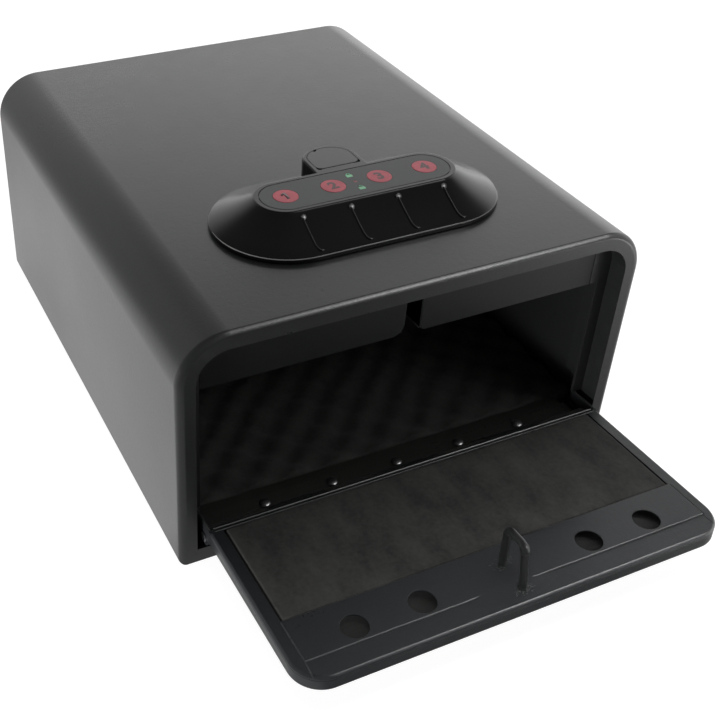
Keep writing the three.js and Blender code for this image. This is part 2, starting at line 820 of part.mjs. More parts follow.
function coverStud() {
  const low = ceiling - coverTabDrop - coverSheet - coverStudTail;
  const top = ceiling - weldGap;
  return turned([
    [0, low], [coverStudRadius, low], [coverStudRadius, top - coverStudBaseHeight],
    [coverStudBaseRadius, top - coverStudBaseHeight], [coverStudBaseRadius, top], [0, top],
  ], 14);
}

function hexNut(across, bore, z0, z1, segments = 12) {
  const shape = disc(across / Math.sqrt(3), 0, 0, 6);
  shape.holes.push(disc(bore, 0, 0, segments));
  return alongZ(shape, z0, z1);
}

// Latch

const hookY = frontY + hookPivotBack;
const hookLow = hookLevel - hookThickness / 2;
const hookHigh = hookLevel + hookThickness / 2;
const coverFloor = coverBottom + coverSheet;

function latchHook() {
  const armLeft = -hookArmWidth + 1;
  const shape = outline([
    [-hookTailWidth / 2, hookTailReach - 1.5], [-hookTailWidth / 2 + 1.5, hookTailReach],
    [hookTailWidth / 2 - 1.5, hookTailReach], [hookTailWidth / 2, hookTailReach - 1.5], [hookTailWidth / 2, 0],
    [armLeft + hookArmWidth, -hookFingerFront + hookFingerWidth + 2],
    [armLeft + hookArmWidth + 2, -hookFingerFront + hookFingerWidth],
    [hookFingerReach - 1, -hookFingerFront + hookFingerWidth],
    [hookFingerReach, -hookFingerFront + hookFingerWidth - 1],
    [hookFingerReach - 0.5, -hookFingerFront + 2], [hookFingerReach - 3, -hookFingerFront],
    [armLeft + 2, -hookFingerFront], [armLeft, -hookFingerFront + 2], [armLeft, 0],
  ].reverse());
  const plate = join(alongZ(shape, 0, hookThickness), post(hookHubRadius, 0, hookThickness, 0, 0, 24));
  return cut(plate, post(hookPostRadius + slideGap, -1, hookThickness + 1, 0, 0, 20));
}

function latchPost() {
  const base = coverFloor + weldGap;
  const top = hookHigh + postAboveHook;
  return turned([
    [0, base], [postFlangeRadius, base], [postFlangeRadius, base + postFlangeHeight],
    [postShoulderRadius, base + postFlangeHeight], [postShoulderRadius, hookLow - slideGap],
    [hookPostRadius, hookLow - slideGap], [hookPostRadius, top], [0, top],
  ], 16).translate(hookPivotX, hookY, 0);
}

function latchClip() {
  const low = hookHigh + slideGap;
  const ring = disc(hookHubRadius - 1, 0, 0, 20);
  ring.holes.push(disc(hookPostRadius + slideGap, 0, 0, 20));
  return alongZ(ring, low, low + clipThickness).translate(hookPivotX, hookY, 0);
}

// A coil whose turns climb from z0 to z1.
function coil(radius, z0, z1, turns, stepsPerTurn = 8) {
  const steps = Math.round(turns * stepsPerTurn);
  const points = Array.from({ length: steps + 1 }, (_, i) => {
    const angle = (2 * Math.PI * i) / stepsPerTurn;
    return [radius * Math.cos(angle), radius * Math.sin(angle), z0 + ((z1 - z0) * i) / steps];
  });
  return rod(points, springWire, steps, 5);
}

function latchSpring() {
  const low = hookHigh + clipThickness + 2 * slideGap + springWire;
  return coil(hookPostRadius + 2 * slideGap + springWire, low, low + springHeight, springTurns).translate(hookPivotX, hookY, 0);
}

const plungerY = frontY + plungerBack;
const solenoidLow = ceiling - weldGap - solenoidHeight;

function solenoid() {
  const half = solenoidWidth / 2;
  const frame = block(plungerX - half, plungerX + half, plungerY - half, plungerY + half,
    solenoidLow, ceiling - weldGap);
  const windows = block(plungerX - half - 1, plungerX + half + 1, plungerY - half + 1.5, plungerY + half - 1.5,
    solenoidLow + 1.5, ceiling - weldGap - 1.5);
  const bobbin = turned([
    [0, solenoidLow + 1], [half - 2, solenoidLow + 1], [half - 2, ceiling - weldGap - 1],
    [0, ceiling - weldGap - 1]]).translate(plungerX, plungerY, 0);
  const bore = post(plungerRadius + slideGap, solenoidLow - 1, ceiling - weldGap - 1.8, plungerX, plungerY, 20);
  return cut(join(cut(frame, windows), bobbin), bore);
}

// The plunger is drawn up clear of the hook. It drops behind the hook's tail when the door is shut.
function solenoidPlunger() {
  const tip = hookHigh + slideGap;
  const top = ceiling - weldGap - 1.8 - slideGap;
  const collar = solenoidLow - slideGap;
  return turned([
    [0, tip], [plungerRadius - 1, tip], [plungerRadius, tip + 1], [plungerRadius, collar - 1.4],
    [plungerRadius + 1.6, collar - 1.4], [plungerRadius + 1.6, collar],
    [plungerRadius, collar], [plungerRadius, top], [0, top],
  ], 20).translate(plungerX, plungerY, 0);
}

// Keypad housing

// The skirt's radius at a height between its flange and its top edge, drawn in a little between them.
const skirtLow = keypadFlangeHeight + 1;
const skirtHigh = keypadHeight - 0.8;
function skirtRadius(height) {
  const share = (height - skirtLow) / (skirtHigh - skirtLow);
  const straight = THREE.MathUtils.lerp(keypadFlangeRadius - 1.6, keypadTopRadius + 0.3, share);
  return straight - keypadSag * Math.sin(Math.PI * share);
}

const skirtY = (height) => keypadY + (keypadTopShift * height) / keypadHeight;

function keypadBody() {
  const ring = (radius, height) => ({
    points: stadiumPoints(keypadHalfLength, radius, skirtY(height)), z: bodyHeight + height });
  const rings = [
    ring(keypadFlangeRadius, weldGap),
    ring(keypadFlangeRadius, keypadFlangeHeight - 0.5),
    ring(keypadFlangeRadius - 0.5, keypadFlangeHeight + 0.3),
  ];
  const levels = 3;
  for (let i = 0; i <= levels; i += 1) {
    const height = THREE.MathUtils.lerp(skirtLow, skirtHigh, i / levels);
    rings.push(ring(skirtRadius(height), height));
  }
  rings.push(ring(keypadTopRadius, keypadHeight - 0.25), ring(keypadTopRadius - 0.6, keypadHeight));
  return stacked(rings);
}

function keypadHollow() {
  const ring = (radius, height) => ({
    points: stadiumPoints(keypadHalfLength, radius, skirtY(height)), z: bodyHeight + height });
  const roof = keypadHeight - overlayRecess - keypadWall;
  const slant = keypadWall * 1.25;
  return stacked([
    ring(keypadFlangeRadius - slant - 1.6, weldGap - 1),
    ring(skirtRadius(skirtLow) - slant, keypadFlangeHeight - 0.5),
    ring(skirtRadius(keypadHeight / 2) - slant - 1, keypadHeight / 2 - 1.5),
    ring(keypadTopRadius + 1, roof),
  ]);
}

const bossRings = (inset, height) => ({
  points: archPoints(bossHalfWidth - inset, keypadTopY + overlayRadius + 1, frontY + bossEnd - inset),
  z: bodyHeight + height });

function keyBoss() {
  return stacked([
    bossRings(-1.6, weldGap), bossRings(-1.5, 1.2), bossRings(-0.7, 2), bossRings(-0.2, 3.2), bossRings(0, 5),
    bossRings(0, keypadHeight - 0.8), bossRings(0.25, keypadHeight - 0.25), bossRings(0.8, keypadHeight),
  ]);
}

const hingeY = frontY + keyCoverFront + slideGap + keyCoverThickness / 2;
const hingeZ = keypadTop - keyCoverThickness / 2;
const trunnionRadius = 0.7;
const trunnionReach = 1.1;

function keyRecess() {
  const floor = keypadTop - keyCoverThickness - slideGap;
  const plate = alongZ(
    outline(archPoints(keyCoverHalfWidth, frontY + keyCoverFront, frontY + keyCoverEnd)), floor, keypadTop + 1);
  const pocket = post(keyPocketRadius, bodyHeight + keypadWall + weldGap, floor + 1, 0, keyY);
  const bore = post(cylinderRadius + slideGap, bodyHeight - 1, floor, 0, keyY);
  const trunnions = alongX(disc(trunnionRadius + slideGap, hingeY, hingeZ, 12),
    -keyCoverHalfWidth - trunnionReach - slideGap, keyCoverHalfWidth + trunnionReach + slideGap);
  const notch = new THREE.SphereGeometry(2, 12, 8).translate(0, frontY + keyCoverEnd + 0.6, keypadTop + 0.5);
  return [plate, pocket, bore, trunnions, notch];
}

function buttonPlaces() {
  return Array.from({ length: buttonCount }, (_, i) => (i - (buttonCount - 1) / 2) * buttonPitch);
}

function lensPlaces() {
  return [1, 0, -1].map((row) => keypadTopY + row * lensSpacing);
}

// A raised line down the front of the skirt from a small dome, with a hook to the right at its foot.
function fingerRib(x) {
  const onSkirt = (dx, height, lift = 0.1) =>
    [x + dx, skirtY(height) - skirtRadius(height) - lift * 0.5, bodyHeight + height + lift];
  const top = skirtHigh - 1.3;
  const low = skirtLow + 1;
  const points = [];
  for (let i = 0; i <= 5; i += 1) points.push(onSkirt(0, THREE.MathUtils.lerp(top, low + 1.4, i / 5)));
  points.push(onSkirt(ribHook * 0.25, low + 0.4), onSkirt(ribHook * 0.6, low), onSkirt(ribHook, low - 0.1));
  const [hx, hy, hz] = onSkirt(0, top + 0.2, 0.2);
  const head = new THREE.SphereGeometry(ribHeadRadius, 8, 6).translate(hx, hy, hz);
  return [rod(points, ribRadius, 8, 6), head];
}

function keypadHousing() {
  const roof = bodyHeight + keypadHeight - overlayRecess - keypadWall;
  const ribs = buttonPlaces().flatMap(fingerRib);
  const recess = alongZ(stadium(keypadHalfLength - 0.5, overlayRadius, keypadTopY),
    keypadTop - overlayRecess, keypadTop + 1);
  const buttonHoles = buttonPlaces().map((x) =>
    post(buttonRadius + slideGap, roof - 1, keypadTop + 1, x, keypadTopY));
  const lensHoles = lensPlaces().map((y) => post(lensRadius + slideGap, roof - 1, keypadTop + 1, 0, y, 12));
  const shell = cut(join(keypadBody(), ...ribs), keypadHollow());
  const boardPosts = [-1, 1].map((side) =>
    post(boardPostRadius, boardTop + weldGap, roof + 0.5, side * buttonPitch, keypadTopY, 16));
  const screwPosts = [-1, 1].map((side) =>
    post(housingPostRadius, bodyHeight + weldGap, roof - 1, side * housingScrewX, keypadY, 18));
  const pilots = [-1, 1].flatMap((side) => [
    post(boardScrewRadius + slideGap, boardTop, boardTop + boardScrewDepth + pilotSpare,
      side * buttonPitch, keypadTopY, 12),
    post(housingScrewRadius + slideGap, bodyHeight, bodyHeight + housingScrewDepth + pilotSpare,
      side * housingScrewX, keypadY, 12),
  ]);
  const outer = common(join(keypadBody(), keyBoss()), join(keypadBody(), keyBoss()));
  const posts = common(join(shell, keyBoss(), ...boardPosts, ...screwPosts),
    join(outer, ...ribs, ...boardPosts, ...screwPosts));
  return cut(posts, recess, ...buttonHoles, ...lensHoles, ...pilots, ...keyRecess());
}

function keypadOverlay() {
  const shape = stadium(keypadHalfLength - 0.5, overlayRadius - 0.4, keypadTopY);
  buttonPlaces().forEach((x) => shape.holes.push(disc(buttonRadius + slideGap, x, keypadTopY)));
  lensPlaces().forEach((y) => shape.holes.push(disc(lensRadius + slideGap, 0, y, 12)));
  const low = keypadTop - overlayRecess + weldGap;
  return alongZ(shape, low, low + overlayThickness);
}

const keypadRoof = keypadTop - overlayRecess - keypadWall;
const buttonLow = keypadRoof - slideGap - 1.2;

function buttonCap() {
  const top = keypadTop + buttonRise;
  return turned([
    [0, buttonLow], [buttonRadius + buttonCollar, buttonLow], [buttonRadius + buttonCollar, keypadRoof - slideGap],
    [buttonRadius, keypadRoof - slideGap], [buttonRadius, top - 0.4], [buttonRadius - 0.35, top - 0.08],
    [buttonRadius - 1, top], [0, top],
  ]);
}

const switchTop = buttonLow - buttonTravel - slideGap;

function circuitBoard() {
  const half = boardWidth / 2;
  const length = keypadHalfLength + boardOverhang;
  const plate = block(-length, length, keypadTopY - half, keypadTopY + half, boardTop - boardThickness, boardTop);
  const switches = buttonPlaces().flatMap((x) => [
    block(x - switchSize / 2, x + switchSize / 2, keypadTopY - switchSize / 2, keypadTopY + switchSize / 2,
      boardTop - 0.5, switchTop - switchStemHeight),
    post(switchStemRadius, switchTop - 1.5 * switchStemHeight, switchTop, x, keypadTopY, 12),
  ]);
  const leds = lensPlaces().map((y) => block(-ledSize / 2, ledSize / 2, y - ledSize / 2, y + ledSize / 2,
    boardTop - 0.5, boardTop + ledHeight));
  const holes = [-1, 1].map((side) => post(boardScrewRadius + slideGap, boardTop - boardThickness - 1,
    boardTop + 1, side * buttonPitch, keypadTopY, 12));
  return cut(join(plate, ...switches, ...leds), ...holes);
}

function statusLens() {
  const low = boardTop + ledHeight + slideGap;
  return turned([
    [0, low], [lensRadius + lensCollar, low], [lensRadius + lensCollar, keypadRoof - slideGap],
    [lensRadius, keypadRoof - slideGap], [lensRadius, keypadTop - 0.1], [0, keypadTop - 0.1],
  ], 12);
}

// A pan head below a sheet, with its shank rising through it.
function screwFromBelow(shankRadius, headTop, shankTop) {
  const headRadius = shankRadius * screwHeadShare;
  const low = headTop - screwHeadHeight;
  return turned([
    [0, low], [headRadius * 0.7, low], [headRadius, low + screwHeadHeight * 0.4], [headRadius, headTop],
    [shankRadius, headTop], [shankRadius, shankTop], [0, shankTop],
  ], 12);
}

// Key override

const keyFace = bodyHeight + keypadWall + 2 * weldGap + cylinderFlangeThickness;
const cylinderLow = hookLevel + camThickness / 2 + camBelowCylinder;

function keyCylinder() {
  const flange = keyPocketRadius - slideGap;
  const base = keyFace - cylinderFlangeThickness;
  return turned([
    [plugRadius + slideGap, cylinderLow], [cylinderRadius, cylinderLow], [cylinderRadius, base],
    [flange, base], [flange, keyFace - 0.4], [flange - 0.4, keyFace], [plugRadius + slideGap, keyFace],
    [plugRadius + slideGap, cylinderLow],
  ]).translate(0, keyY, 0);
}

function keyPlug() {
  const low = cylinderLow - slideGap;
  const tail = low - camThickness - plugTailLength;
  const body = turned([
    [0, tail], [plugTailRadius, tail], [plugTailRadius, low], [plugRadius, low],
    [plugRadius, keyFace - 0.2], [0, keyFace - 0.2],
  ]);
  const slot = block(-keySlotWidth / 2, keySlotWidth / 2, -keySlotLength / 2, keySlotLength / 2,
    keyFace - keySlotDepth, keyFace + 1);
  return cut(body, slot);
}

function keyCam() {
  const top = cylinderLow - 2 * slideGap;
  const arm = block(-camReach, 0, -camWidth / 2, camWidth / 2, top - camThickness, top);
  const tip = post(camWidth / 2, top - camThickness, top, -camReach, 0, 16);
  const hub = post(camHubRadius, top - camThickness, top, 0, 0, 24);
  return cut(join(arm, tip, hub), post(plugTailRadius + slideGap, top - camThickness - 1, top + 1, 0, 0, 16));
}

// The lid over the key, with X across, Y back from its hinge and Z up.
function keyCover() {
  const half = keyCoverThickness / 2;
  const arch = archPoints(keyCoverHalfWidth - slideGap, 0, frontY + keyCoverEnd - slideGap - hingeY);
  const plate = alongZ(outline(arch), -half, half);
  const barrel = alongX(disc(half, 0, 0, 14), -keyCoverHalfWidth + slideGap, keyCoverHalfWidth - slideGap);
  const pins = alongX(disc(trunnionRadius, 0, 0, 10),
    -keyCoverHalfWidth - trunnionReach + slideGap, keyCoverHalfWidth + trunnionReach - slideGap);
  const notch = new THREE.SphereGeometry(2, 12, 8).translate(0, arch[8][1] + 0.9, half + 0.5);
  return cut(join(plate, barrel, pins), notch);
}

// Battery compartment

const trayLow = coverBottom - batteryDrop;
const batteryDoorLow = trayLow + batteryDoorSink;
const cellZ = coverFloor + cellRadius;
const trayTop = cellZ + cellRadius + slideGap + batteryWall;

function batteryTray() {
  const outer = join(
    block(-trayHalfX, trayHalfX, -trayHalfY, trayHalfY, trayLow, trayTop),
    block(-trayHalfX - trayFlange, trayHalfX + trayFlange, -trayHalfY - trayFlange, trayHalfY + trayFlange,
      coverFloor + weldGap, coverFloor + weldGap + batteryWall));
  const bay = block(-cellBayHalfX, cellBayHalfX, -cellBayHalfY, cellBayHalfY, trayLow - 1, trayTop - batteryWall);
  const groove = block(-cellBayHalfX - batteryDoorTongue, cellBayHalfX + batteryDoorTongue, -cellBayHalfY, trayHalfY + 1, batteryDoorLow - slideGap,
    batteryDoorLow + batteryDoorThickness + slideGap);
  const mouth = block(-cellBayHalfX, cellBayHalfX, 0, trayHalfY + 1, trayLow - 1, batteryDoorLow);
  return cut(outer, bay, groove, mouth).translate(batteryCentreX, batteryY, 0);
}

function batteryDoor() {
  const half = cellBayHalfX + batteryDoorTongue - slideGap;
  const plate = block(-half, half, -cellBayHalfY + slideGap, trayHalfY, batteryDoorLow, batteryDoorLow + batteryDoorThickness);
  const ridges = Array.from({ length: gripCount }, (_, i) => {
    const y = trayHalfY - (i + 2) * gripPitch;
    return block(-gripLength / 2, gripLength / 2, y, y + gripWidth, batteryDoorLow - gripHeight,
      batteryDoorLow + batteryDoorThickness / 2);
  });
  return join(plate, ...ridges).translate(batteryCentreX, batteryY, 0);
}

function batteryCell() {
  const half = cellLength / 2;
  return turned([
    [0, -half + 0.3], [cellRadius - 1.5, -half + 0.3], [cellRadius - 1.2, -half], [cellRadius - 0.4, -half],
    [cellRadius, -half + 0.4], [cellRadius, half - 1.6], [cellRadius - 0.4, half - 1.2], [2.7, half - 1.2],
    [2.7, half - 0.2], [2.4, half], [0, half],
  ], 14).rotateX(Math.PI / 2);
}

function cellPlaces() {
  return Array.from({ length: cellCount }, (_, i) => (i - (cellCount - 1) / 2) * cellPitch);
}

function contactPlate(side) {
  const face = side * (cellBayHalfY - slideGap);
  const inner = face - side * contactThickness;
  const plate = block(-cellBayHalfX + slideGap, cellBayHalfX - slideGap, Math.min(face, inner),
    Math.max(face, inner), cellZ - contactHeight / 2, cellZ + contactHeight / 2);
  const bumps = cellPlaces().map((x) => turned([
    [0, -contactThickness / 2], [contactBumpRadius, -contactThickness / 2],
    [contactBumpRadius * 0.6, contactBumpHeight], [0, contactBumpHeight],
  ], 8).rotateX(side * Math.PI / 2).translate(x, inner, cellZ));
  return join(plate, ...bumps).translate(batteryCentreX, batteryY, 0);
}

// Floor mat

// Convoluted foam: a sheet whose top rises and falls in a grid of rounded peaks.
function floorMat() {
  const width = 2 * (halfWidth - bodySheet - matInset);
  const front = sillBack + matInset;
  const depth = backY - bodySheet - matInset - front;
  const across = 2 * Math.round(width / matPitch);
  const along = 2 * Math.round(depth / matPitch);
  const low = bodySheet + weldGap;
  const height = matThickness + 1;
  const sheet = new THREE.BoxGeometry(width, depth, height, across, along, 1);
  const points = sheet.getAttribute('position');
  for (let i = 0; i < points.count; i += 1) {
    if (points.getZ(i) < 0) continue;
    const wave = Math.cos((Math.PI * across * (points.getX(i) / width + 0.5)))
      * Math.cos((Math.PI * along * (points.getY(i) / depth + 0.5)));
    points.setZ(i, height / 2 - (matWave * (1 - wave)) / 2);
  }
  sheet.translate(0, front + depth / 2, low + matThickness - height / 2);
  return common(sheet, block(-halfWidth, halfWidth, frontY, backY, low, ceiling));
}

// Assembly

add('body_shell', bodyShell(), powderCoat);
add('back_panel', backPanel(), powderCoat);
add('floor_pan', floorPan(), powderCoat);
add('sill_channel', sillChannel(), powderCoat);
add('hinge_leaf_fixed', hingeLeafFixed(), powderCoat);
add('hinge_pin', hingePin(), zincSteel);
rivetPlaces().forEach((x, i) => {
  add(`sill_rivet_${i + 1}`, sillRivet(), zincSteel).position.set(x, pivotY + rivetBehindPivot, 0);
});
add('door_stop_left', doorStop(-1), powderCoat);
add('door_stop_right', doorStop(1), powderCoat);

add('door_pan', doorPan(), powderCoat, doorGroup);
add('hinge_leaf_door', hingeLeafDoor(), powderCoat, doorGroup);
add('door_inner_plate', doorInnerPlate(), powderCoat, doorGroup);
add('door_pad', doorPad(), foam, doorGroup);
add('staple', stapleLoop(), powderCoat, doorGroup);

add('lock_cover', lockCover(), powderCoat);
coverStudPlaces().forEach(([x, y], i) => {
  const tabLow = ceiling - coverTabDrop - coverSheet;
  add(`cover_stud_${i + 1}`, coverStud(), zincSteel).position.set(x, y, 0);
  const nut = hexNut(
    coverNutAcross, coverStudRadius + slideGap, tabLow - weldGap - coverNutThickness, tabLow - weldGap);
  add(`cover_nut_${i + 1}`, nut, zincSteel).position.set(x, y, 0);
});

const hookGroup = turnedGroup(hookPivotX, hookY, hookLow);
hookGroup.rotation.z = -THREE.MathUtils.degToRad(hookSwing);
add('latch_hook', latchHook(), zincSteel, hookGroup);
add('latch_post', latchPost(), zincSteel);
add('latch_clip', latchClip(), zincSteel);
add('latch_spring', latchSpring(), zincSteel);
add('solenoid', solenoid(), copper);
add('solenoid_plunger', solenoidPlunger(), zincSteel);

add('keypad_housing', keypadHousing(), satinPlastic);
add('keypad_overlay', keypadOverlay(), overlayPlastic);
buttonPlaces().forEach((x, i) => {
  add(`button_${i + 1}`, buttonCap(), redPlastic).position.set(x, keypadTopY, 0);
});
lensPlaces().forEach((y, i) => {
  add(`status_lens_${i + 1}`, statusLens(), lensPlastic).position.set(0, y, 0);
});
add('circuit_board', circuitBoard(), boardGreen);
[-1, 1].forEach((side, i) => {
  const boardScrew = screwFromBelow(
    boardScrewRadius, boardTop - boardThickness - weldGap, boardTop + boardScrewDepth);
  add(`board_screw_${i + 1}`, boardScrew, zincSteel).position.set(side * buttonPitch, keypadTopY, 0);
  const housingScrew = screwFromBelow(housingScrewRadius, ceiling - weldGap, bodyHeight + housingScrewDepth);
  add(`housing_screw_${i + 1}`, housingScrew, zincSteel).position.set(side * housingScrewX, keypadY, 0);
});

add('key_cylinder', keyCylinder(), zincSteel);
add('key_plug', keyPlug(), brass).position.set(0, keyY, 0);
add('key_cam', keyCam(), zincSteel).position.set(0, keyY, 0);
const keyNut = hexNut(
  keyNutAcross, cylinderRadius + slideGap, ceiling - weldGap - keyNutThickness, ceiling - weldGap, 24);
add('key_nut', keyNut, zincSteel).position.set(0, keyY, 0);
const lidGroup = turnedGroup(0, hingeY, hingeZ);
add('key_cover', keyCover(), satinPlastic, lidGroup);

add('battery_tray', batteryTray(), satinPlastic);
add('battery_door', batteryDoor(), satinPlastic);
cellPlaces().forEach((x, i) => {
  const cell = add(`battery_cell_${i + 1}`, batteryCell(), cellWrap);
  cell.position.set(batteryCentreX + x, batteryY, cellZ + slideGap / 2);
  cell.rotation.z = i % 2 ? Math.PI : 0;
});
add('battery_contact_front', contactPlate(-1), zincSteel);
add('battery_contact_back', contactPlate(1), zincSteel);

add('floor_mat', floorMat(), foam);

export default safe;
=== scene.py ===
"""A quick access safe with its front door down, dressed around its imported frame."""
import random
from math import copysign, cos, pi, radians, sin, sqrt

import bmesh
import bpy
from mathutils import Matrix, Vector, noise


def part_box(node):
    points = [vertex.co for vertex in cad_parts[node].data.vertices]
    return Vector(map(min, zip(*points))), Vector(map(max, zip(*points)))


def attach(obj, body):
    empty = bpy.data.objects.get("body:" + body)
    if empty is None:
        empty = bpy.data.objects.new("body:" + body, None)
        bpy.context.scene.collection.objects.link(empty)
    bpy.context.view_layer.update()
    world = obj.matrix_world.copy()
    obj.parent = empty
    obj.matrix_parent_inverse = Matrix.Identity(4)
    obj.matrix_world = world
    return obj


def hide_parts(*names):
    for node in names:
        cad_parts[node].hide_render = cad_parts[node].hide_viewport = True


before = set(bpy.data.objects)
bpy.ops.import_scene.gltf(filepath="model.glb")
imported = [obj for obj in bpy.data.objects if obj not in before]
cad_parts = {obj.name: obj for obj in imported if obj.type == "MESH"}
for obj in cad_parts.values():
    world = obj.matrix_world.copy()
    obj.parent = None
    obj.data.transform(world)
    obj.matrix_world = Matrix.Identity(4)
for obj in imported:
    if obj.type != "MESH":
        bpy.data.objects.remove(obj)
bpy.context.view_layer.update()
scene = bpy.context.scene

MM = 0.001
QUARTER = pi / 2
MERGE = 2e-6  # points this close are one, in metres
OVER = 1.0  # how far a cutter runs past what it cuts, in millimetres


def turned(angle, axis):
    return Matrix.Rotation(radians(angle), 4, axis)


# Sizes in millimetres, as in the CAD source
HALF = 125.0
TOP = 132.6
FRONT = -146.4
BACK = 146.4
SHEET = 2.0
BEND = 25.5
CEILING = TOP - SHEET
RIM = 9.0
RIM_BEND = 2.8
RIM_SIDE_BEND = 4.0
RIM_SLACK = (0.7, 5.4)
JAMB_END = -135.8
STRIP = 8.0
FOOT_CORNER = 3.0
KEY_HOLE = 8.3
CABLE_HOLE = 6.0
CABLE_X = -30.0
SCREW_HOLE = 2.1

PIVOT_Y = FRONT - 0.3
PIVOT_Z = 15.9
OPEN_TILT = 2.2
KNUCKLE = 4.4
PIN = 2.5
LEAF = KNUCKLE - PIN - 0.3
LEAF_REACH = 16.5
HINGE_HALF = 110.2
KNUCKLES = 7
KNUCKLE_GAP = 0.2
RIVET_PLACES = [(i - 2) * 37.7 for i in range(5)]
RIVET_BACK = 11.0
RIVET_HOLE = 1.9
RIVET_HEAD = (2.9, 1.3)
SILL_TOP = 11.2

DOOR_HALF = 112.6
DOOR_START = 4.7
DOOR_END = 103.9
DOOR_OUTER = -0.3
DOOR_INNER = 8.3
DOOR_SHEET = 1.5
DOOR_CORNER = 15.5
DOOR_BEAD = 1.6
DOOR_SLACK = (0.5, 3.4)
SIDE_FLANGE = 6.6
END_FLANGE = 12.0
SEAM_X = 106.2
EAR_REACH = 13.0
EAR_WIDTH = 5.0
EAR_CORNER = 1.5

PLATE_HALF = 106.6
PLATE_START = 69.7
PLATE_END = 93.0
PLATE_LOW = 8.32
PLATE_TOP = 9.1
PLATE_HOLES = (-78.7, -45.0, 45.0, 78.7)
PLATE_HOLE = 6.6
HOLE_PLACE = PLATE_END - 8.1

PAD_HALF = 105.7
PAD_LOW = 1.7
PAD_TOP = 8.9
PAD_START = 8.1
PAD_END = 69.4
PAD_UNDER = 3.9
MAT_THICKNESS = 11.0
MAT_WAVE = 3.2
MAT_PITCH = 24.0

STAPLE_ROD = 1.9
STAPLE_FIRST = 80.4
STAPLE_SECOND = 96.0
STAPLE_TOP = 32.8
STAPLE_BEND = 3.5
STAPLE_LEAN = 2.4
WELD_START = -33.0
WELD_END = 20.0
WELD_REACH = 8.6

PAD_Y = FRONT + 71.5
PAD_LENGTH = 39.8
PAD_RISE = 14.5
PAD_SHIFT = 1.2
FLANGE = 37.0
FLANGE_RISE = 2.4
SKIRT_LOW = FLANGE_RISE + 0.6
SKIRT_HIGH = PAD_RISE - 0.8
CROWN = 15.2
WALL = 2.4
LABEL = 12.9
RECESS = 0.8
LABEL_THICKNESS = 0.5
BUTTON = 6.3
BUTTON_RISE = 0.12
BUTTON_EDGE = (0.3, 0.28)
BUTTON_PITCH = 2 * (PAD_LENGTH - 0.95) / 3
BUTTON_PLACES = [(i - 1.5) * BUTTON_PITCH for i in range(4)]
LENS_SPACING = 6.6
SCREW_X = PAD_LENGTH + 17
CROWN_Y = PAD_Y + PAD_SHIFT
CROWN_Z = TOP + PAD_RISE
LABEL_LOW = CROWN_Z - RECESS + 0.3

KEY_Y = FRONT + 100
BOSS_HALF = 14.6
BOSS_END = FRONT + 112.6
LID_HALF = 12.2
LID_FRONT = FRONT + 89.7
LID_END = FRONT + 110.7
LID_THICKNESS = 1.8
LID_PIN = 0.5
LID_GAP = 0.3
LID_HINGE_Y = LID_FRONT + LID_GAP + LID_THICKNESS / 2
LID_HINGE_Z = CROWN_Z - LID_THICKNESS / 2

# Where the pieces of a turned body are laid, each made about its own hinge line
PIVOT = Matrix.Translation((0, PIVOT_Y * MM, PIVOT_Z * MM))
PLACES = {
    "door": PIVOT @ turned(90 - OPEN_TILT, "X"),
    "key_lid": Matrix.Translation((0, LID_HINGE_Y * MM, LID_HINGE_Z * MM)),
}

# The camera's azimuth, elevation and roll in degrees, and its place in metres
CAMERA_TURN = (-25.001, 34.844, 1.04)
CAMERA_PLACE = (-0.26204, -0.50554, 0.42089)
CAMERA_SHIFT = (0.1631, -0.0761)
CAMERA_LENS = 57.742
CAMERA_SENSOR = 36

# The room's light. Each span runs from one place to another, with the light at either.
ROOM_TURN = radians(34)
ROOM_HEIGHT = (0.44, 0.68, 1.0, 0.14)
ROOM_DEPTH = (-0.7, 0.95, 0.29, 1.63)
ROOM_LEFT = (-0.8, 0.7, 0.39, 1.25)

# How much of the floor's white a glossy surface sees, from place to place in metres
FLOOR_HALF = 4.0
FLOOR_GLOW = 0.95
GLOW_ACROSS = (0.06, 0.28, 0.0, 1.12)
GLOW_BACK = (-0.2, -0.12, 0.0, 1.05)
GLOW_FAR = (0.2, 0.5, 1.05, 0.5)
GLOW_SIDE = (-0.115, -0.1, 0.5, 0.0)
GLOW_FRONT = (-0.3, -0.25, 0.0, 1.0)


def added(name, data):
    obj = bpy.data.objects.new(name, data)
    scene.collection.objects.link(obj)
    return obj


def place_camera():
    data = bpy.data.cameras.new("camera")
    data.sensor_width = CAMERA_SENSOR
    data.lens = CAMERA_LENS
    data.shift_x, data.shift_y = CAMERA_SHIFT
    data.clip_start = 0.01
    azimuth, elevation, roll = CAMERA_TURN
    aim = turned(azimuth, "Z") @ turned(90 - elevation, "X") @ turned(roll, "Z")
    scene.camera = added("camera", data)
    scene.camera.matrix_world = Matrix.Translation(CAMERA_PLACE) @ aim


# Mesh helpers. Points are in millimetres until they become a mesh.

def build(name, verts, faces):
    mesh = bpy.data.meshes.new(name)
    mesh.from_pydata([tuple(c * MM for c in v) for v in verts], [], faces)
    tidy_mesh(mesh)
    return added(name, mesh)


def tidy_mesh(mesh, flatten=False):
    bm = bmesh.new()
    bm.from_mesh(mesh)
    bmesh.ops.remove_doubles(bm, verts=bm.verts, dist=MERGE)
    bmesh.ops.dissolve_degenerate(bm, edges=bm.edges, dist=MERGE / 2)
    if flatten:
        bmesh.ops.dissolve_limit(
            bm, angle_limit=radians(0.4), use_dissolve_boundaries=False,
            verts=bm.verts, edges=bm.edges)
    bmesh.ops.recalc_face_normals(bm, faces=bm.faces)
    for face in bm.faces:
        face.smooth = True
    bm.to_mesh(mesh)
    bm.free()


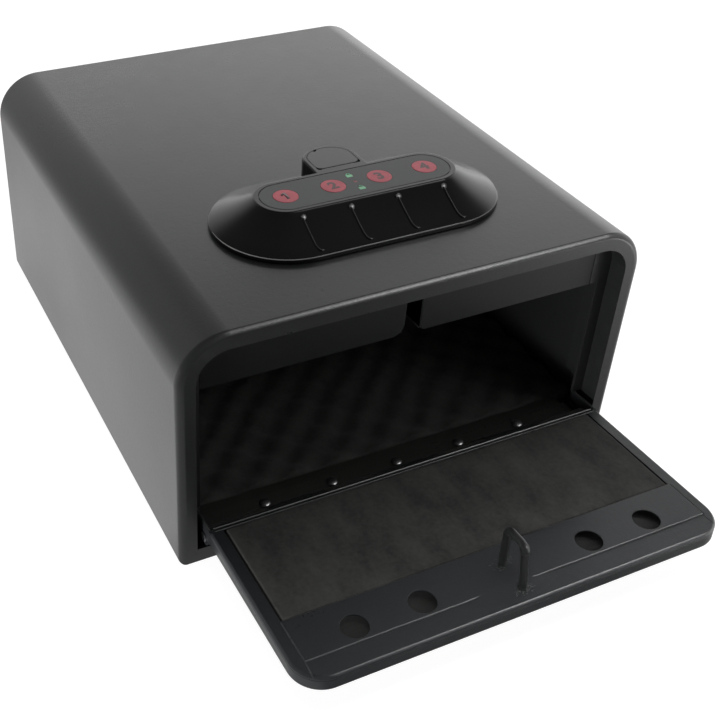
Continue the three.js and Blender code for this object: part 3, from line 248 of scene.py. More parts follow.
def bake(obj):
    """Applies the modifiers to the mesh."""
    graph = bpy.context.evaluated_depsgraph_get()
    mesh = bpy.data.meshes.new_from_object(obj.evaluated_get(graph))
    obj.modifiers.clear()
    old = obj.data
    obj.data = mesh
    bpy.data.meshes.remove(old)
    mesh.name = obj.name


def boolean(obj, tools, operation="DIFFERENCE", flatten=True):
    """Cuts or joins with each tool in turn. A tool is an object, or its points and faces."""
    for tool in tools:
        if isinstance(tool, tuple):
            tool = build("tool", *tool)
        modifier = obj.modifiers.new("join", "BOOLEAN")
        modifier.operation = operation
        modifier.solver = "EXACT"
        modifier.object = tool
        bake(obj)
        bpy.data.objects.remove(tool)
    tidy_mesh(obj.data, flatten)
    return obj


def soften(obj, width, segments=2, angle=32):
    """Rounds the hard edges and evens out the shading."""
    bevel = obj.modifiers.new("edges", "BEVEL")
    bevel.width = width * MM
    bevel.segments = segments
    bevel.limit_method = "ANGLE"
    bevel.angle_limit = radians(angle)
    bevel.miter_outer = "MITER_ARC"
    bevel.use_clamp_overlap = True
    even_out(obj)


def even_out(obj, angle=None):
    """Evens out the shading. With an angle, edges that turn by more stay hard."""
    if angle:
        obj.data.set_sharp_from_angle(angle=radians(angle))
    obj.modifiers.new("normals", "WEIGHTED_NORMAL").keep_sharp = True


def fuse(obj, voxel, rounds=0):
    """Melts a mesh's shells into one skin, and smooths it in so many rounds."""
    remesh = obj.modifiers.new("fuse", "REMESH")
    remesh.mode = "VOXEL"
    remesh.voxel_size = voxel * MM
    if rounds:
        smooth = obj.modifiers.new("smooth", "SMOOTH")
        smooth.factor = 0.6
        smooth.iterations = rounds
    bake(obj)
    for face in obj.data.polygons:
        face.use_smooth = True


def stack(rings):
    """Rings of equal count joined in turn, with a face on each end."""
    count = len(rings[0])
    verts = [point for ring in rings for point in ring]
    last = len(verts) - count
    faces = []
    for low in range(0, last, count):
        for i in range(count):
            j = (i + 1) % count
            faces.append((low + i, low + j, low + count + j, low + count + i))
    faces.append(tuple(reversed(range(count))))
    faces.append(tuple(range(last, len(verts))))
    return verts, faces


def merged(*shells):
    verts, faces = [], []
    for more_verts, more_faces in shells:
        start = len(verts)
        verts += more_verts
        faces += [tuple(start + i for i in face) for face in more_faces]
    return verts, faces


def oval(cx, cy, across, up, start, end, steps):
    return [
        (cx + across * cos(start + (end - start) * i / steps),
         cy + up * sin(start + (end - start) * i / steps))
        for i in range(steps + 1)]


def arc(cx, cy, radius, start, end, steps):
    return oval(cx, cy, radius, radius, start, end, steps)


def circle(radius, cx=0.0, cy=0.0, steps=48):
    return arc(cx, cy, radius, 0, 2 * pi * (steps - 1) / steps, steps - 1)


def at_z(points, z):
    return [(x, y, z) for x, y in points]


def at_x(points, x):
    return [(x, a, b) for a, b in points]


def prism(points, z0, z1):
    return stack([at_z(points, z0), at_z(points, z1)])


def prism_x(points, x0, x1):
    return stack([at_x(points, x0), at_x(points, x1)])


def block(x0, x1, y0, y1, z0, z1):
    return prism([(x0, y0), (x1, y0), (x1, y1), (x0, y1)], z0, z1)


def post(radius, z0, z1, x, y, steps=48):
    return prism(circle(radius, x, y, steps), z0, z1)


def lathe(profile, x, y, steps=48):
    """Turned round Z from pairs of radius and height. A radius of 0 is a tip."""
    return stack([at_z(circle(max(radius, 1e-3), x, y, steps), height) for radius, height in profile])


def tube(points, radius, sides=16, scales=None):
    """A round rod along points, with its ends closed."""
    path = [Vector(p) for p in points]
    rings = []
    normal = None
    for i, here in enumerate(path):
        ahead = path[min(i + 1, len(path) - 1)] - path[max(i - 1, 0)]
        ahead.normalize()
        if normal is None:
            normal = ahead.orthogonal().normalized()
        normal = (normal - ahead * normal.dot(ahead)).normalized()
        other = ahead.cross(normal)
        size = radius * (scales[i] if scales else 1)
        turns = [2 * pi * k / sides for k in range(sides)]
        rings.append([tuple(here + size * (cos(a) * normal + sin(a) * other)) for a in turns])
    return stack(rings)


def ball(radius, centre, squash=1.0, steps=24):
    x, y, z = centre
    return lathe(oval(0, z, radius, radius * squash, -QUARTER, QUARTER, 12), x, y, steps)


def stadium(half_length, radius, y):
    right = arc(half_length, y, radius, -QUARTER, QUARTER, 32)
    left = arc(-half_length, y, radius, QUARTER, 3 * QUARTER, 32)
    return right + left


def edge_places(low, high, roll, cells):
    """Places along an edge, close together where it rolls over at both ends."""
    near = [low + roll * share for share in (0, 0.15, 0.4, 0.7)]
    far = [high - roll * share for share in (0.7, 0.4, 0.15, 0)]
    middle = [low + roll + (high - low - 2 * roll) * i / cells for i in range(cells + 1)]
    return near + middle + far


def rolled_block(low, high, roll, cells):
    """A block whose edges roll over, as a fine grid on its six sides."""
    axes = [edge_places(low[k], high[k], roll, cells[k]) for k in range(3)]
    points, faces = [], []

    def add_corner(raw):
        core = Vector([min(max(raw[n], low[n] + roll), high[n] - roll) for n in range(3)])
        away = raw - core
        points.append(tuple(core + away.normalized() * roll if away.length > 1e-9 else raw))

    for normal in range(3):
        one, two = [n for n in range(3) if n != normal]
        for end in (low[normal], high[normal]):
            for a0, a1 in zip(axes[one], axes[one][1:]):
                for b0, b1 in zip(axes[two], axes[two][1:]):
                    faces.append(tuple(range(len(points), len(points) + 4)))
                    for a, b in ((a0, b0), (a1, b0), (a1, b1), (a0, b1)):
                        raw = Vector()
                        raw[normal], raw[one], raw[two] = end, a, b
                        add_corner(raw)
    return points, faces


def dress(obj, body, material, slot, *replaced, place=None):
    """Gives a piece its material, puts it in place and ties it to its body."""
    obj.data.materials.clear()
    obj.data.materials.append(material)
    place = place or PLACES.get(body)
    if place:
        obj.matrix_world = place
    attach(obj, body)
    if replaced:
        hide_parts(*replaced)


# Materials

class Nodes:
    """Makes and links the nodes of one tree."""

    def __init__(self, tree):
        self.tree = tree

    def node(self, kind, inputs=(), **settings):
        made = self.tree.nodes.new(kind)
        for key, value in settings.items():
            setattr(made, key, value)
        for key, value in dict(inputs).items():
            self.put(made.inputs[key], value)
        return made

    def put(self, socket, value):
        if isinstance(value, bpy.types.NodeSocket):
            self.tree.links.new(value, socket)
        else:
            socket.default_value = value

    def math(self, operation, a, b):
        return self.node("ShaderNodeMath", {0: a, 1: b}, operation=operation).outputs[0]

    def plus(self, first, second, share):
        """The first value and a share of the second."""
        return self.math("ADD", first, self.math("MULTIPLY", second, share))

    def span(self, value, *stops, **settings):
        """A value between the first two stops, as one between the last two."""
        inputs = dict(enumerate((value, *stops)))
        return self.node("ShaderNodeMapRange", inputs, **settings).outputs["Result"]

    def axes(self, place):
        return self.node("ShaderNodeSeparateXYZ", {0: place}).outputs


class Shader(Nodes):
    """A node material on one Principled shader, textured in the piece's own space."""

    def __init__(self, name, color, roughness, **sockets):
        self.material = bpy.data.materials.new(name)
        self.material.use_nodes = True
        super().__init__(self.material.node_tree)
        self.inputs = self.tree.nodes["Principled BSDF"].inputs
        self.inputs["Base Color"].default_value = (*color, 1)
        self.inputs["Roughness"].default_value = roughness
        for key, value in sockets.items():
            self.inputs[key.replace("_", " ")].default_value = value
        self.place = self.node("ShaderNodeTexCoord").outputs["Object"]
        self.normal = None

    def stretched(self, scale):
        return self.node("ShaderNodeMapping", {"Vector": self.place, "Scale": scale}).outputs["Vector"]

    def noise(self, scale, detail=2.0, roughness=0.5, place=None):
        made = self.node("ShaderNodeTexNoise", {
            "Vector": place or self.place, "Scale": scale, "Detail": detail, "Roughness": roughness})
        return made.outputs["Fac"]

    def cells(self, scale, feature="F1"):
        inputs = {"Vector": self.place, "Scale": scale}
        return self.node("ShaderNodeTexVoronoi", inputs, feature=feature).outputs["Distance"]

    def ramp(self, value, stops):
        made = self.node("ShaderNodeValToRGB", {"Fac": value})
        ramp = made.color_ramp
        while len(ramp.elements) < len(stops):
            ramp.elements.new(0.5)
        for element, (position, color) in zip(ramp.elements, stops):
            element.position = position
            element.color = (*color, 1)
        return made.outputs["Color"]

    def blend(self, amount, first, second):
        inputs = {"Factor": amount, 6: first, 7: second}
        return self.node("ShaderNodeMix", data_type="RGBA", inputs=inputs).outputs[2]

    def bump(self, height, distance, strength):
        inputs = {"Height": height, "Distance": distance * MM, "Strength": strength}
        if self.normal:
            inputs["Normal"] = self.normal
        self.normal = self.node("ShaderNodeBump", inputs).outputs["Normal"]
        self.put(self.inputs["Normal"], self.normal)

    def worn(self):
        """High on outer edges and near 0 elsewhere."""
        point = self.node("ShaderNodeNewGeometry").outputs["Pointiness"]
        patchy = self.span(self.noise(90, 4), 0.35, 0.65, 0.3, 1.0)
        return self.math("MULTIPLY", self.span(point, 0.53, 0.62, 0.0, 1.0), patchy)

    def color(self, value):
        self.put(self.inputs["Base Color"], value)

    def roughness(self, value, low, high, smooth, rough):
        """Roughness that runs from smooth to rough as a value goes from low to high."""
        self.put(self.inputs["Roughness"], self.span(value, low, high, smooth, rough))


def scaled(color, factor):
    return tuple(c * factor for c in color)


def shades(color, *stops):
    """Stops for a ramp, from places and the factors on the colour there."""
    return [(place, scaled(color, factor)) for place, factor in stops]


def powder_coat(name, color=(0.015, 0.016, 0.0155), grain=1.0, gloss=0.36):
    """Satin black powder coat: fine pebbles, soft clouding and slightly rubbed edges."""
    s = Shader(name, color, 0.4, Specular_IOR_Level=gloss)
    cloud = s.noise(7, 3)
    grit = s.noise(900, 2, 0.6)
    tone = s.plus(s.math("MULTIPLY", cloud, 0.6), grit, 0.4)
    base = s.ramp(tone, shades(color, (0.30, 0.78), (0.52, 1.0), (0.72, 1.3)))
    edge = s.worn()
    s.color(s.blend(s.math("MULTIPLY", edge, 0.08), base, (*scaled(color, 4.0), 1)))
    rough = s.span(s.plus(cloud, grit, 0.5), 0.45, 1.0, 0.27, 0.35)
    s.put(s.inputs["Roughness"], s.math("SUBTRACT", rough, s.math("MULTIPLY", edge, 0.03)))
    s.bump(s.noise(330, 2), 0.05 * grain, 0.6)
    s.bump(grit, 0.04 * grain, 0.7)
    return s.material


def moulded_plastic(name, color=(0.0045, 0.0045, 0.0045), low=0.15, high=0.22, gloss=0.24):
    """Black moulded plastic with a faint spark-eroded texture."""
    s = Shader(name, color, low, Specular_IOR_Level=gloss)
    cloud = s.noise(12, 3)
    grit = s.noise(1500, 2, 0.6)
    s.color(s.ramp(cloud, shades(color, (0.3, 0.85), (0.7, 1.25))))
    s.roughness(s.plus(cloud, grit, 0.4), 0.45, 0.95, low, high)
    s.bump(grit, 0.012, 0.6)
    return s.material


def label_film(name, color):
    """A fine-grained printed film."""
    s = Shader(name, color, 0.45, Specular_IOR_Level=0.32)
    grit = s.noise(2600, 2, 0.7)
    tone = s.plus(s.math("MULTIPLY", s.noise(25, 2), 0.4), grit, 0.6)
    s.color(s.ramp(tone, shades(color, (0.35, 0.85), (0.65, 1.15))))
    s.roughness(grit, 0.3, 0.7, 0.40, 0.52)
    s.bump(grit, 0.01, 0.5)
    return s.material


def tinted_plastic(name, color, low, high):
    """Coloured plastic with faint clouding in its pigment."""
    s = Shader(name, color, low)
    s.color(s.ramp(s.noise(160, 3), shades(color, (0.3, 0.86), (0.7, 1.1))))
    s.roughness(s.noise(900, 2), 0.3, 0.7, low, high)
    s.bump(s.noise(1800, 2), 0.006, 0.5)
    return s.material


def brushed_metal(name, color, low=0.28, high=0.42, stretch=(60, 900, 900), pits=0.01):
    """Plated or drawn metal with fine lines along X."""
    s = Shader(name, color, low, Metallic=1.0)
    lines = s.noise(1, 3, 0.6, s.stretched(stretch))
    cloud = s.noise(60, 3)
    s.color(s.ramp(cloud, shades(color, (0.3, 0.8), (0.7, 1.12))))
    s.roughness(s.plus(lines, cloud, 0.5), 0.45, 1.0, low, high)
    s.bump(lines, pits, 0.6)
    return s.material


def foam(name, dark, light, streaks, pore=1100, painted_shade_depth=None):
    """Charcoal foam: mottled in colour, with open pores and a soft nap. Below a given height its colour
    is darkened towards the dark tone, as painted shade.
    """
    s = Shader(name, light, 0.95, Sheen_Weight=0.07, Sheen_Roughness=0.6, Specular_IOR_Level=0.2)
    patch = s.noise(1, 4, 0.6, s.stretched(streaks))
    fine = s.noise(420, 3, 0.6)
    tone = s.plus(s.math("MULTIPLY", patch, 0.65), fine, 0.35)
    middle = tuple((a + b) / 2 for a, b in zip(dark, light))
    mottled = s.ramp(tone, [(0.36, dark), (0.5, middle), (0.66, light)])
    # painted shade: below the given height, as inside the plate's holes, the foam is blended towards a
    # darker tone
    if painted_shade_depth:
        painted_shade = s.span(s.axes(s.place)["Y"], painted_shade_depth * MM, (painted_shade_depth + 1) * MM, 1.0, 0.0)
        mottled = s.blend(painted_shade, mottled, (*scaled(dark, 0.8), 1))
    s.color(mottled)
    s.roughness(fine, 0.3, 0.7, 0.88, 1.0)
    s.bump(s.cells(pore), 0.12, 0.5)
    s.bump(fine, 0.15, 0.5)
    return s.material


def solder_mask(name, color):
    """A green board with faint copper runs under its mask."""
    s = Shader(name, color, 0.4)
    runs = s.cells(260, "DISTANCE_TO_EDGE")
    s.color(s.ramp(runs, shades(color, (0.04, 1.5), (0.1, 1.0))))
    s.roughness(s.noise(500), 0.3, 0.7, 0.34, 0.48)
    s.bump(runs, 0.02, 0.3)
    return s.material


def cell_wrap(name, color):
    """Shrink wrap, slightly wrinkled along the cell."""
    s = Shader(name, color, 0.32)
    wrinkle = s.noise(1, 3, 0.5, s.stretched((500, 60, 500)))
    s.color(s.ramp(s.noise(40, 2), shades(color, (0.4, 0.8), (0.6, 1.2))))
    s.roughness(wrinkle, 0.3, 0.7, 0.26, 0.4)
    s.bump(wrinkle, 0.04, 0.5)
    return s.material


coat = powder_coat("powder_coat")
coat_fine = powder_coat("powder_coat_fine", (0.021, 0.0225, 0.0245), 2.2)
weld_coat = powder_coat("weld_coat", (0.013, 0.0135, 0.0135), 2.2)
bead_coat = powder_coat("bead_coat", (0.05, 0.051, 0.05), 1.5)
edge_coat = powder_coat("edge_coat", (0.03, 0.031, 0.031), 0.6)
sill_coat = powder_coat("sill_coat", (0.034, 0.033, 0.031), 2.6, gloss=0.2)
# A darker, less glossy copy of the coat for the lock cover inside the box: painted shade.
cover_coat_painted_shade = powder_coat("cover_coat_painted_shade", (0.0095, 0.01, 0.0098), gloss=0.22)
plastic = moulded_plastic("keypad_plastic")
lid_plastic = moulded_plastic("lid_plastic", low=0.34, high=0.44, gloss=0.5)
tray_plastic = moulded_plastic("tray_plastic", (0.016, 0.016, 0.017), 0.42, 0.52, gloss=0.5)
# A pale grey plastic, used only for the painted highlight along the keypad's foot.
painted_highlight_plastic = moulded_plastic("painted_highlight_plastic", (0.16, 0.16, 0.16), 0.3, 0.4)
film = label_film("label_film", (0.028, 0.03, 0.0305))
red = tinted_plastic("red_plastic", (0.37, 0.04, 0.06), 0.46, 0.56)
green = tinted_plastic("green_lens", (0.12, 0.4, 0.2), 0.3, 0.4)
dull_red = tinted_plastic("dull_red_lens", (0.20, 0.03, 0.035), 0.35, 0.45)
ink = tinted_plastic("dark_ink", (0.07, 0.026, 0.03), 0.45, 0.55)
zinc = brushed_metal("zinc_steel", (0.39, 0.41, 0.42))
bright_steel = brushed_metal("rivet_steel", (0.2, 0.2, 0.2), 0.3, 0.42, (400, 400, 400))
coil_metal = brushed_metal("copper_winding", (0.32, 0.10, 0.035), stretch=(60, 60, 2200), pits=0.05)
brass = brushed_metal("key_brass", (0.43, 0.27, 0.07), stretch=(700, 700, 80))
board_green = solder_mask("solder_mask", (0.013, 0.1, 0.039))
cell_blue = cell_wrap("cell_wrap", (0.028, 0.07, 0.147))
# The pad's foam gets painted shade low down, where it shows in the plate's holes.
pad_foam = foam("pad_foam", (0.0115, 0.0115, 0.0108), (0.041, 0.0405, 0.037), (70, 70, 36), painted_shade_depth=4.5)
mat_foam = foam("mat_foam", (0.019, 0.019, 0.0178), (0.048, 0.0475, 0.0435), (70, 70, 70), 900)


# Steel box

def wrap_path(inset):
    """The wrap seen from the front, over the top from its left foot to its right foot."""
    left = arc(BEND - HALF, TOP - BEND, BEND - inset, pi, QUARTER, 28)
    right = arc(HALF - BEND, TOP - BEND, BEND - inset, QUARTER, 0, 28)
    return [(inset - HALF, 0.0)] + left + right + [(HALF - inset, 0.0)]


def slack_edge(tight, slack):
    """A folded edge's section, as drop and run to its face: two tight bends, a slack one between."""
    bends = ((0, 37, tight, 4), (37, 61, slack, 8), (61, 90, tight * 1.4, 4))
    points = [(0.0, 0.0)]
    for start, end, radius, steps in bends:
        low, high = radians(start), radians(end)
        drop, run = points[-1]
        centre = (drop + radius * cos(low), run - radius * sin(low))
        points += arc(*centre, radius, pi - low, pi - high, steps)[1:]
    reach = points[-1][1]
    return [(drop, reach - run) for drop, run in points]


def rim_section(side):
    """The wrap's section: slack at the rim's top edge, and a plain bend where side is 1."""
    plain = arc(RIM_SIDE_BEND, RIM_SIDE_BEND, RIM_SIDE_BEND, pi, 3 * QUARTER, 16)
    section = [(0.0, BACK)]
    for (drop, run), (plain_drop, plain_run) in zip(slack_edge(*RIM_SLACK), plain):
        section.append((
            drop + (plain_drop - drop) * side,
            FRONT + run + (plain_run - run) * side))
    section += [(RIM, FRONT), (RIM, JAMB_END), (RIM - SHEET, JAMB_END), (RIM - SHEET, FRONT + SHEET)]
    section += arc(RIM_BEND, FRONT + RIM_BEND, RIM_BEND - SHEET, 3 * QUARTER, pi, 6)
    section += [(SHEET, BACK)]
    return section


def foot_cuts(side):
    """Frees the rim's foot behind its face, and rounds the wrap's lower corner."""
    edges = sorted((side * (HALF - RIM - OVER), side * (HALF - SHEET)))
    foot = block(*edges, FRONT + SHEET, JAMB_END + OVER, -OVER, SHEET + 0.3)
    radius = FOOT_CORNER
    corner = arc(HALF - radius, radius, radius, -QUARTER, 0, 8)
    corner += [(HALF + OVER, radius), (HALF + OVER, -OVER), (HALF - radius, -OVER)]
    rings = [[(side * x, y, z) for x, z in corner] for y in (FRONT - OVER, BACK + OVER)]
    return [foot, stack(rings)]


def steel_box():
    rings = []
    for (x, z), deeper in zip(wrap_path(0), wrap_path(1)):
        in_x, in_z = deeper[0] - x, deeper[1] - z
        rings.append([(x + inset * in_x, y, z + inset * in_z) for inset, y in rim_section(abs(in_x))])
    box = build("steel_box", *stack(rings))
    strip_half = HALF - RIM + OVER
    strip = block(-strip_half, strip_half, FRONT, FRONT + SHEET, 0, STRIP)
    boolean(box, [strip], "UNION", flatten=False)
    for cut in foot_cuts(-1) + foot_cuts(1):
        boolean(box, [cut], flatten=False)
    soften(box, 0.45, 3)
    bake(box)
    low, high = CEILING - OVER, TOP + OVER
    boolean(box, [
        post(KEY_HOLE, low, high, 0, KEY_Y),
        post(CABLE_HOLE, low, high, CABLE_X, PAD_Y),
        *[post(SCREW_HOLE, low, high, side * SCREW_X, PAD_Y, 24) for side in (-1, 1)],
    ], flatten=False)
    even_out(box, 40)
    dress(box, "safe", coat, "powder_coat", "body_shell")


# Door. Its points are across, towards the inside of the shut door, and up from the pivot.

def door_outline(inset, bottom=None, end=None):
    half = DOOR_HALF - inset
    low = DOOR_START + (inset if bottom is None else bottom)
    high = DOOR_END - (inset if end is None else end)
    radius = max(DOOR_CORNER - inset, 0.5)
    right = arc(half - radius, high - radius, radius, 0, QUARTER, 20)
    left = arc(radius - half, high - radius, radius, QUARTER, pi, 20)
    return [(-half, low), (half, low)] + right + left


def inwards(points, w):
    return [(x, w, v) for x, v in points]


def door_slab(points, low, high):
    return stack([inwards(points, low), inwards(points, high)])


def mitre_cut(side):
    """The fine seam between the end flange and a side flange."""
    half, lean = 0.34, side * 0.4
    shape = ((-1, 1), (-0.3, -0.3), (0.3, -0.3), (1, 1))
    section = [(side * SEAM_X + half * share, DOOR_INNER + w) for share, w in shape]
    leaning = [(x + lean, w) for x, w in section]
    return stack([at_z(section, DOOR_END - END_FLANGE - 1), at_z(leaning, DOOR_END - 2.2)])


def ear(side):
    start = DOOR_START + DOOR_BEAD + 1
    edge = DOOR_INNER - EAR_WIDTH
    low = -EAR_REACH + EAR_CORNER
    outline = [(DOOR_INNER, start), (DOOR_OUTER + DOOR_BEAD, start)]
    outline += arc(0, 0, KNUCKLE, radians(140), radians(270), 16)
    outline += [(KNUCKLE * 0.55, -KNUCKLE * 1.12), (edge - 0.2, -EAR_REACH + 2.2)]
    outline += arc(edge + EAR_CORNER, low, EAR_CORNER, pi, 3 * QUARTER, 5)
    outline += arc(DOOR_INNER - EAR_CORNER, low, EAR_CORNER, -QUARTER, 0, 5)
    x0, x1 = sorted((side * (DOOR_HALF - DOOR_SHEET), side * DOOR_HALF))
    bore = prism_x(circle(PIN + 0.3, steps=32), x0 - OVER, x1 + OVER)
    return boolean(build("ear", *prism_x(outline, x0, x1)), [bore])


def door_panel():
    profile = arc(DOOR_BEAD, DOOR_OUTER + DOOR_BEAD, DOOR_BEAD, -QUARTER, -pi, 8)
    profile += [(0.0, 5.85), (0.1, 5.95), (0.16, 6.15), (0.1, 6.35), (0.0, 6.45)]
    profile += [(run, DOOR_INNER - drop) for drop, run in reversed(slack_edge(*DOOR_SLACK))]
    panel = build("door_panel", *stack([inwards(door_outline(i), w) for i, w in profile]))
    ceiling = DOOR_INNER - DOOR_SHEET
    mouth = door_outline(SIDE_FLANGE, PAD_START - DOOR_START - 1, END_FLANGE)
    x0, x1 = PLATE_HALF + 0.1, PLATE_HALF + 0.7
    low, high = DOOR_INNER - 0.5, DOOR_INNER + 0.5
    groove = [(x0, high), (x0, low), (x1, low), (x1, high)]
    boolean(panel, [
        door_slab(door_outline(DOOR_SHEET), DOOR_OUTER + DOOR_SHEET, ceiling),
        door_slab(mouth, ceiling - OVER, DOOR_INNER + OVER),
        mitre_cut(-1),
        mitre_cut(1),
        prism(groove, PLATE_START - 0.5, PLATE_END + 0.2),
    ])
    boolean(panel, [ear(-1), ear(1)], "UNION")
    soften(panel, 0.35)
    dress(panel, "door", coat_fine, "powder_coat", "door_pan")


def door_plate():
    rough = random.Random(4)
    steps = 120
    waves = [rough.uniform(-0.08, 0.08) + 0.12 * noise.noise((i * 0.11, 3, 0)) for i in range(steps + 1)]

    def outline(inset):
        half = PLATE_HALF - inset
        places = [half - 2 * half * i / steps for i in range(steps + 1)]
        return [(-half, PLATE_START), (half, PLATE_START)] + [
            (x, PLATE_END - inset + wave) for x, wave in zip(places, waves)]

    drops = ((0, 0.6), (0.1, 0.42), (0.4, 0.1), (0.6, 0))
    slope = [(0, PLATE_LOW)] + [(inset, PLATE_TOP - drop) for inset, drop in drops]
    plate = build("door_plate", *stack([inwards(outline(inset), w) for inset, w in slope]))
    boolean(plate, [
        door_slab(circle(PLATE_HOLE, x, HOLE_PLACE), PLATE_LOW - OVER, PLATE_TOP + OVER)
        for x in PLATE_HOLES])
    soften(plate, 0.12)
    dress(plate, "door", coat_fine, "powder_coat", "door_inner_plate")


def door_foam():
    low = (-PAD_HALF + 0.7, PAD_LOW, PAD_START)
    high = (PAD_HALF - 0.7, PAD_TOP, PAD_END)
    verts, faces = rolled_block(low, high, 1.1, (110, 3, 34))
    shaped = []
    for x, w, v in verts:
        if w > PAD_TOP - 1:
            broad = noise.noise((x * 0.045, v * 0.045, 1.0)) * 0.28
            w += min(broad + noise.noise((x * 0.2, v * 0.2, 5.0)) * 0.1, 0.25)
        shaped.append((x, w, v))
    thin = door_outline(SIDE_FLANGE + 0.3, PAD_END - 0.3 - DOOR_START, END_FLANGE + 0.3)
    pad = build("door_foam", *merged((shaped, faces), door_slab(thin, PAD_LOW, PAD_UNDER)))
    dress(pad, "door", pad_foam, "foam", "door_pad")


def laid(shape, base):
    """A shape made upright, turned to stand on the open door at a base."""
    verts, faces = shape
    return [(a, base + c, b) for a, b, c in verts], faces


def door_staple():
    """A bent rod on two rings of weld beads, a little swollen at its far bend."""
    rough = random.Random(11)
    turn = STAPLE_TOP - STAPLE_ROD - STAPLE_BEND
    leaned = STAPLE_SECOND - STAPLE_LEAN - STAPLE_BEND
    path = [(PLATE_TOP - 0.5, STAPLE_FIRST), (PLATE_TOP + 4, STAPLE_FIRST)]
    path += arc(turn, STAPLE_FIRST + STAPLE_BEND, STAPLE_BEND, -QUARTER, 0, 10)
    path += arc(turn, leaned, STAPLE_BEND, 0, QUARTER, 10)
    path += [(PLATE_TOP + 4, STAPLE_SECOND - STAPLE_LEAN / 6), (DOOR_INNER, STAPLE_SECOND)]
    scales = [1.16 if 17 <= i < 23 else 1.0 for i in range(len(path))]
    shells = [tube(at_x(path, 0), STAPLE_ROD, 20, scales)]
    beads = 9
    for foot, v, size in ((PLATE_TOP, STAPLE_FIRST, 2.3), (DOOR_INNER, STAPLE_SECOND, 2.6)):
        for i in range(beads):
            angle = 2 * pi * i / beads + rough.uniform(-0.2, 0.2)
            away = size - 0.9 + rough.uniform(-0.1, 0.2)
            base = foot + rough.uniform(0.1, 0.5)
            centre = (away * cos(angle), v + away * sin(angle), 0)
            shells.append(laid(ball(rough.uniform(0.75, 1.05), centre, steps=12), base))
    staple = build("door_staple", *merged(*shells))
    fuse(staple, 0.28, rounds=6)
    dress(staple, "door", weld_coat, "powder_coat", "staple")


def plate_weld():
    """A smoothed weld that hides the plate's edge beside the staple."""
    steps = 48
    low, start, face = DOOR_INNER - 0.1, PLATE_END - 1.4, DOOR_INNER
    rings = []
    for i in range(steps + 1):
        x = WELD_START + (WELD_END - WELD_START) * i / steps
        share = sin(pi * i / steps) if 0 < i < steps else 0.0
        width = WELD_REACH + 0.6 * noise.noise((x * 0.12, 7, 0))
        out = PLATE_END + 0.3 + width * sqrt(share)
        lift = low + (PLATE_TOP + 0.12 - face) * min(2 * share * share, 1)
        section = [
            (low, start), (lift, start), (lift, PLATE_END - 0.6),
            (lift * 0.7 + face * 0.3, PLATE_END * 0.7 + out * 0.3),
            (lift * 0.3 + face * 0.7, PLATE_END * 0.35 + out * 0.65), (face + 0.02, out), (low, out)]
        rings.append(at_x(section, x))
    weld = build("plate_weld", *stack(rings))
    even_out(weld, 60)
    dress(weld, "door", coat_fine, "powder_coat")


def weld_spatter():
    """Small beads of weld round the staple's feet."""
    rough = random.Random(23)
    shells = []
    for foot, v, count in ((PLATE_TOP, STAPLE_FIRST, 34), (DOOR_INNER + 0.35, STAPLE_SECOND, 60)):
        for _ in range(count):
            angle = rough.uniform(0, 2 * pi)
            away = 2.3 + 3.2 * rough.random() ** 1.7
            x, z = away * cos(angle) * 1.25, away * sin(angle) * 0.8
            if abs(v + z - PLATE_END) < 0.9:
                continue
            base = PLATE_TOP if v + z < PLATE_END else foot
            shells.append(laid(ball(rough.uniform(0.22, 0.5), (x, v + z, 0), 0.7, 8), base))
    spatter = build("weld_spatter", *merged(*shells))
    dress(spatter, "door", bead_coat, "powder_coat")


def door_lip():
    """The two ridges of the door's turned lip, the worn edges of its ears and the left seam's ridge."""
    ridges = [
        (8.1, 4.8), (8.32, 4.86), (8.56, 5.0), (8.6, 5.12), (8.54, 5.24), (8.3, 5.42), (8.3, 6.9),
        (8.56, 7.05), (8.62, 7.18), (8.56, 7.32), (8.1, 7.6), (7.6, 7.6), (7.6, 4.8)]
    half = DOOR_HALF - 2.6
    shells = [prism_x(ridges, -half, half)]
    edge = [(DOOR_INNER - 0.15, v) for v in (5.4, 2.0, -2.0, -6.0, -9.5)]
    edge += arc(DOOR_INNER - 1.65, -EAR_REACH + 1.65, 1.5, 0, -QUARTER, 6)
    for side in (-1, 1):
        shells.append(tube(at_x(edge, side * (DOOR_HALF - DOOR_SHEET * 0.5)), 0.55, 12))
    seam = inwards([(-106.1, 91.9), (-106.5, 96.5), (-106.9, 101.0)], DOOR_INNER)
    shells.append(tube(seam, 0.28, 10))
    lip = build("door_lip", *merged(*shells))
    even_out(lip, 50)
    dress(lip, "door", edge_coat, "powder_coat")


# Hinge

def knuckles(first):
    """The ends of every other knuckle, with a gap to its neighbours."""
    length = 2 * HINGE_HALF / KNUCKLES
    spans = []
    for i in range(first, KNUCKLES, 2):
        start = -HINGE_HALF + i * length
        before = KNUCKLE_GAP if i else 0
        after = KNUCKLE_GAP if i < KNUCKLES - 1 else 0
        spans.append((start + before, start + length - after))
    return spans


def hinge_leaf(name, first, reach, side, holes):
    """A leaf with its knuckles. side is -1 for a leaf tangent to the knuckles' low side."""
    low, high = sorted((side * KNUCKLE, side * (KNUCKLE - LEAF)))
    clear = KNUCKLE + 0.4
    leaf = build(name, *block(-HINGE_HALF, HINGE_HALF, clear, reach, low, high))
    parts = []
    for x0, x1 in knuckles(first):
        parts.append(prism_x(circle(KNUCKLE, steps=40), x0, x1))
        parts.append(block(x0, x1, 0, clear + 0.5, low, high))
    boolean(leaf, parts, "UNION")
    bore = prism_x(circle(KNUCKLE - LEAF, steps=40), -HINGE_HALF - OVER, HINGE_HALF + OVER)
    boolean(leaf, [bore] + [post(RIVET_HOLE, low - OVER, high + OVER, x, RIVET_BACK, 24) for x in holes])
    soften(leaf, 0.4)
    return leaf


def hinge():
    fixed = hinge_leaf("hinge_fixed", 0, LEAF_REACH, -1, RIVET_PLACES)
    dress(fixed, "safe", sill_coat, "powder_coat", "hinge_leaf_fixed", place=PIVOT)
    moving = hinge_leaf("hinge_moving", 1, DOOR_INNER - 1, 1, [])
    dress(moving, "door", coat, "powder_coat", "hinge_leaf_door")


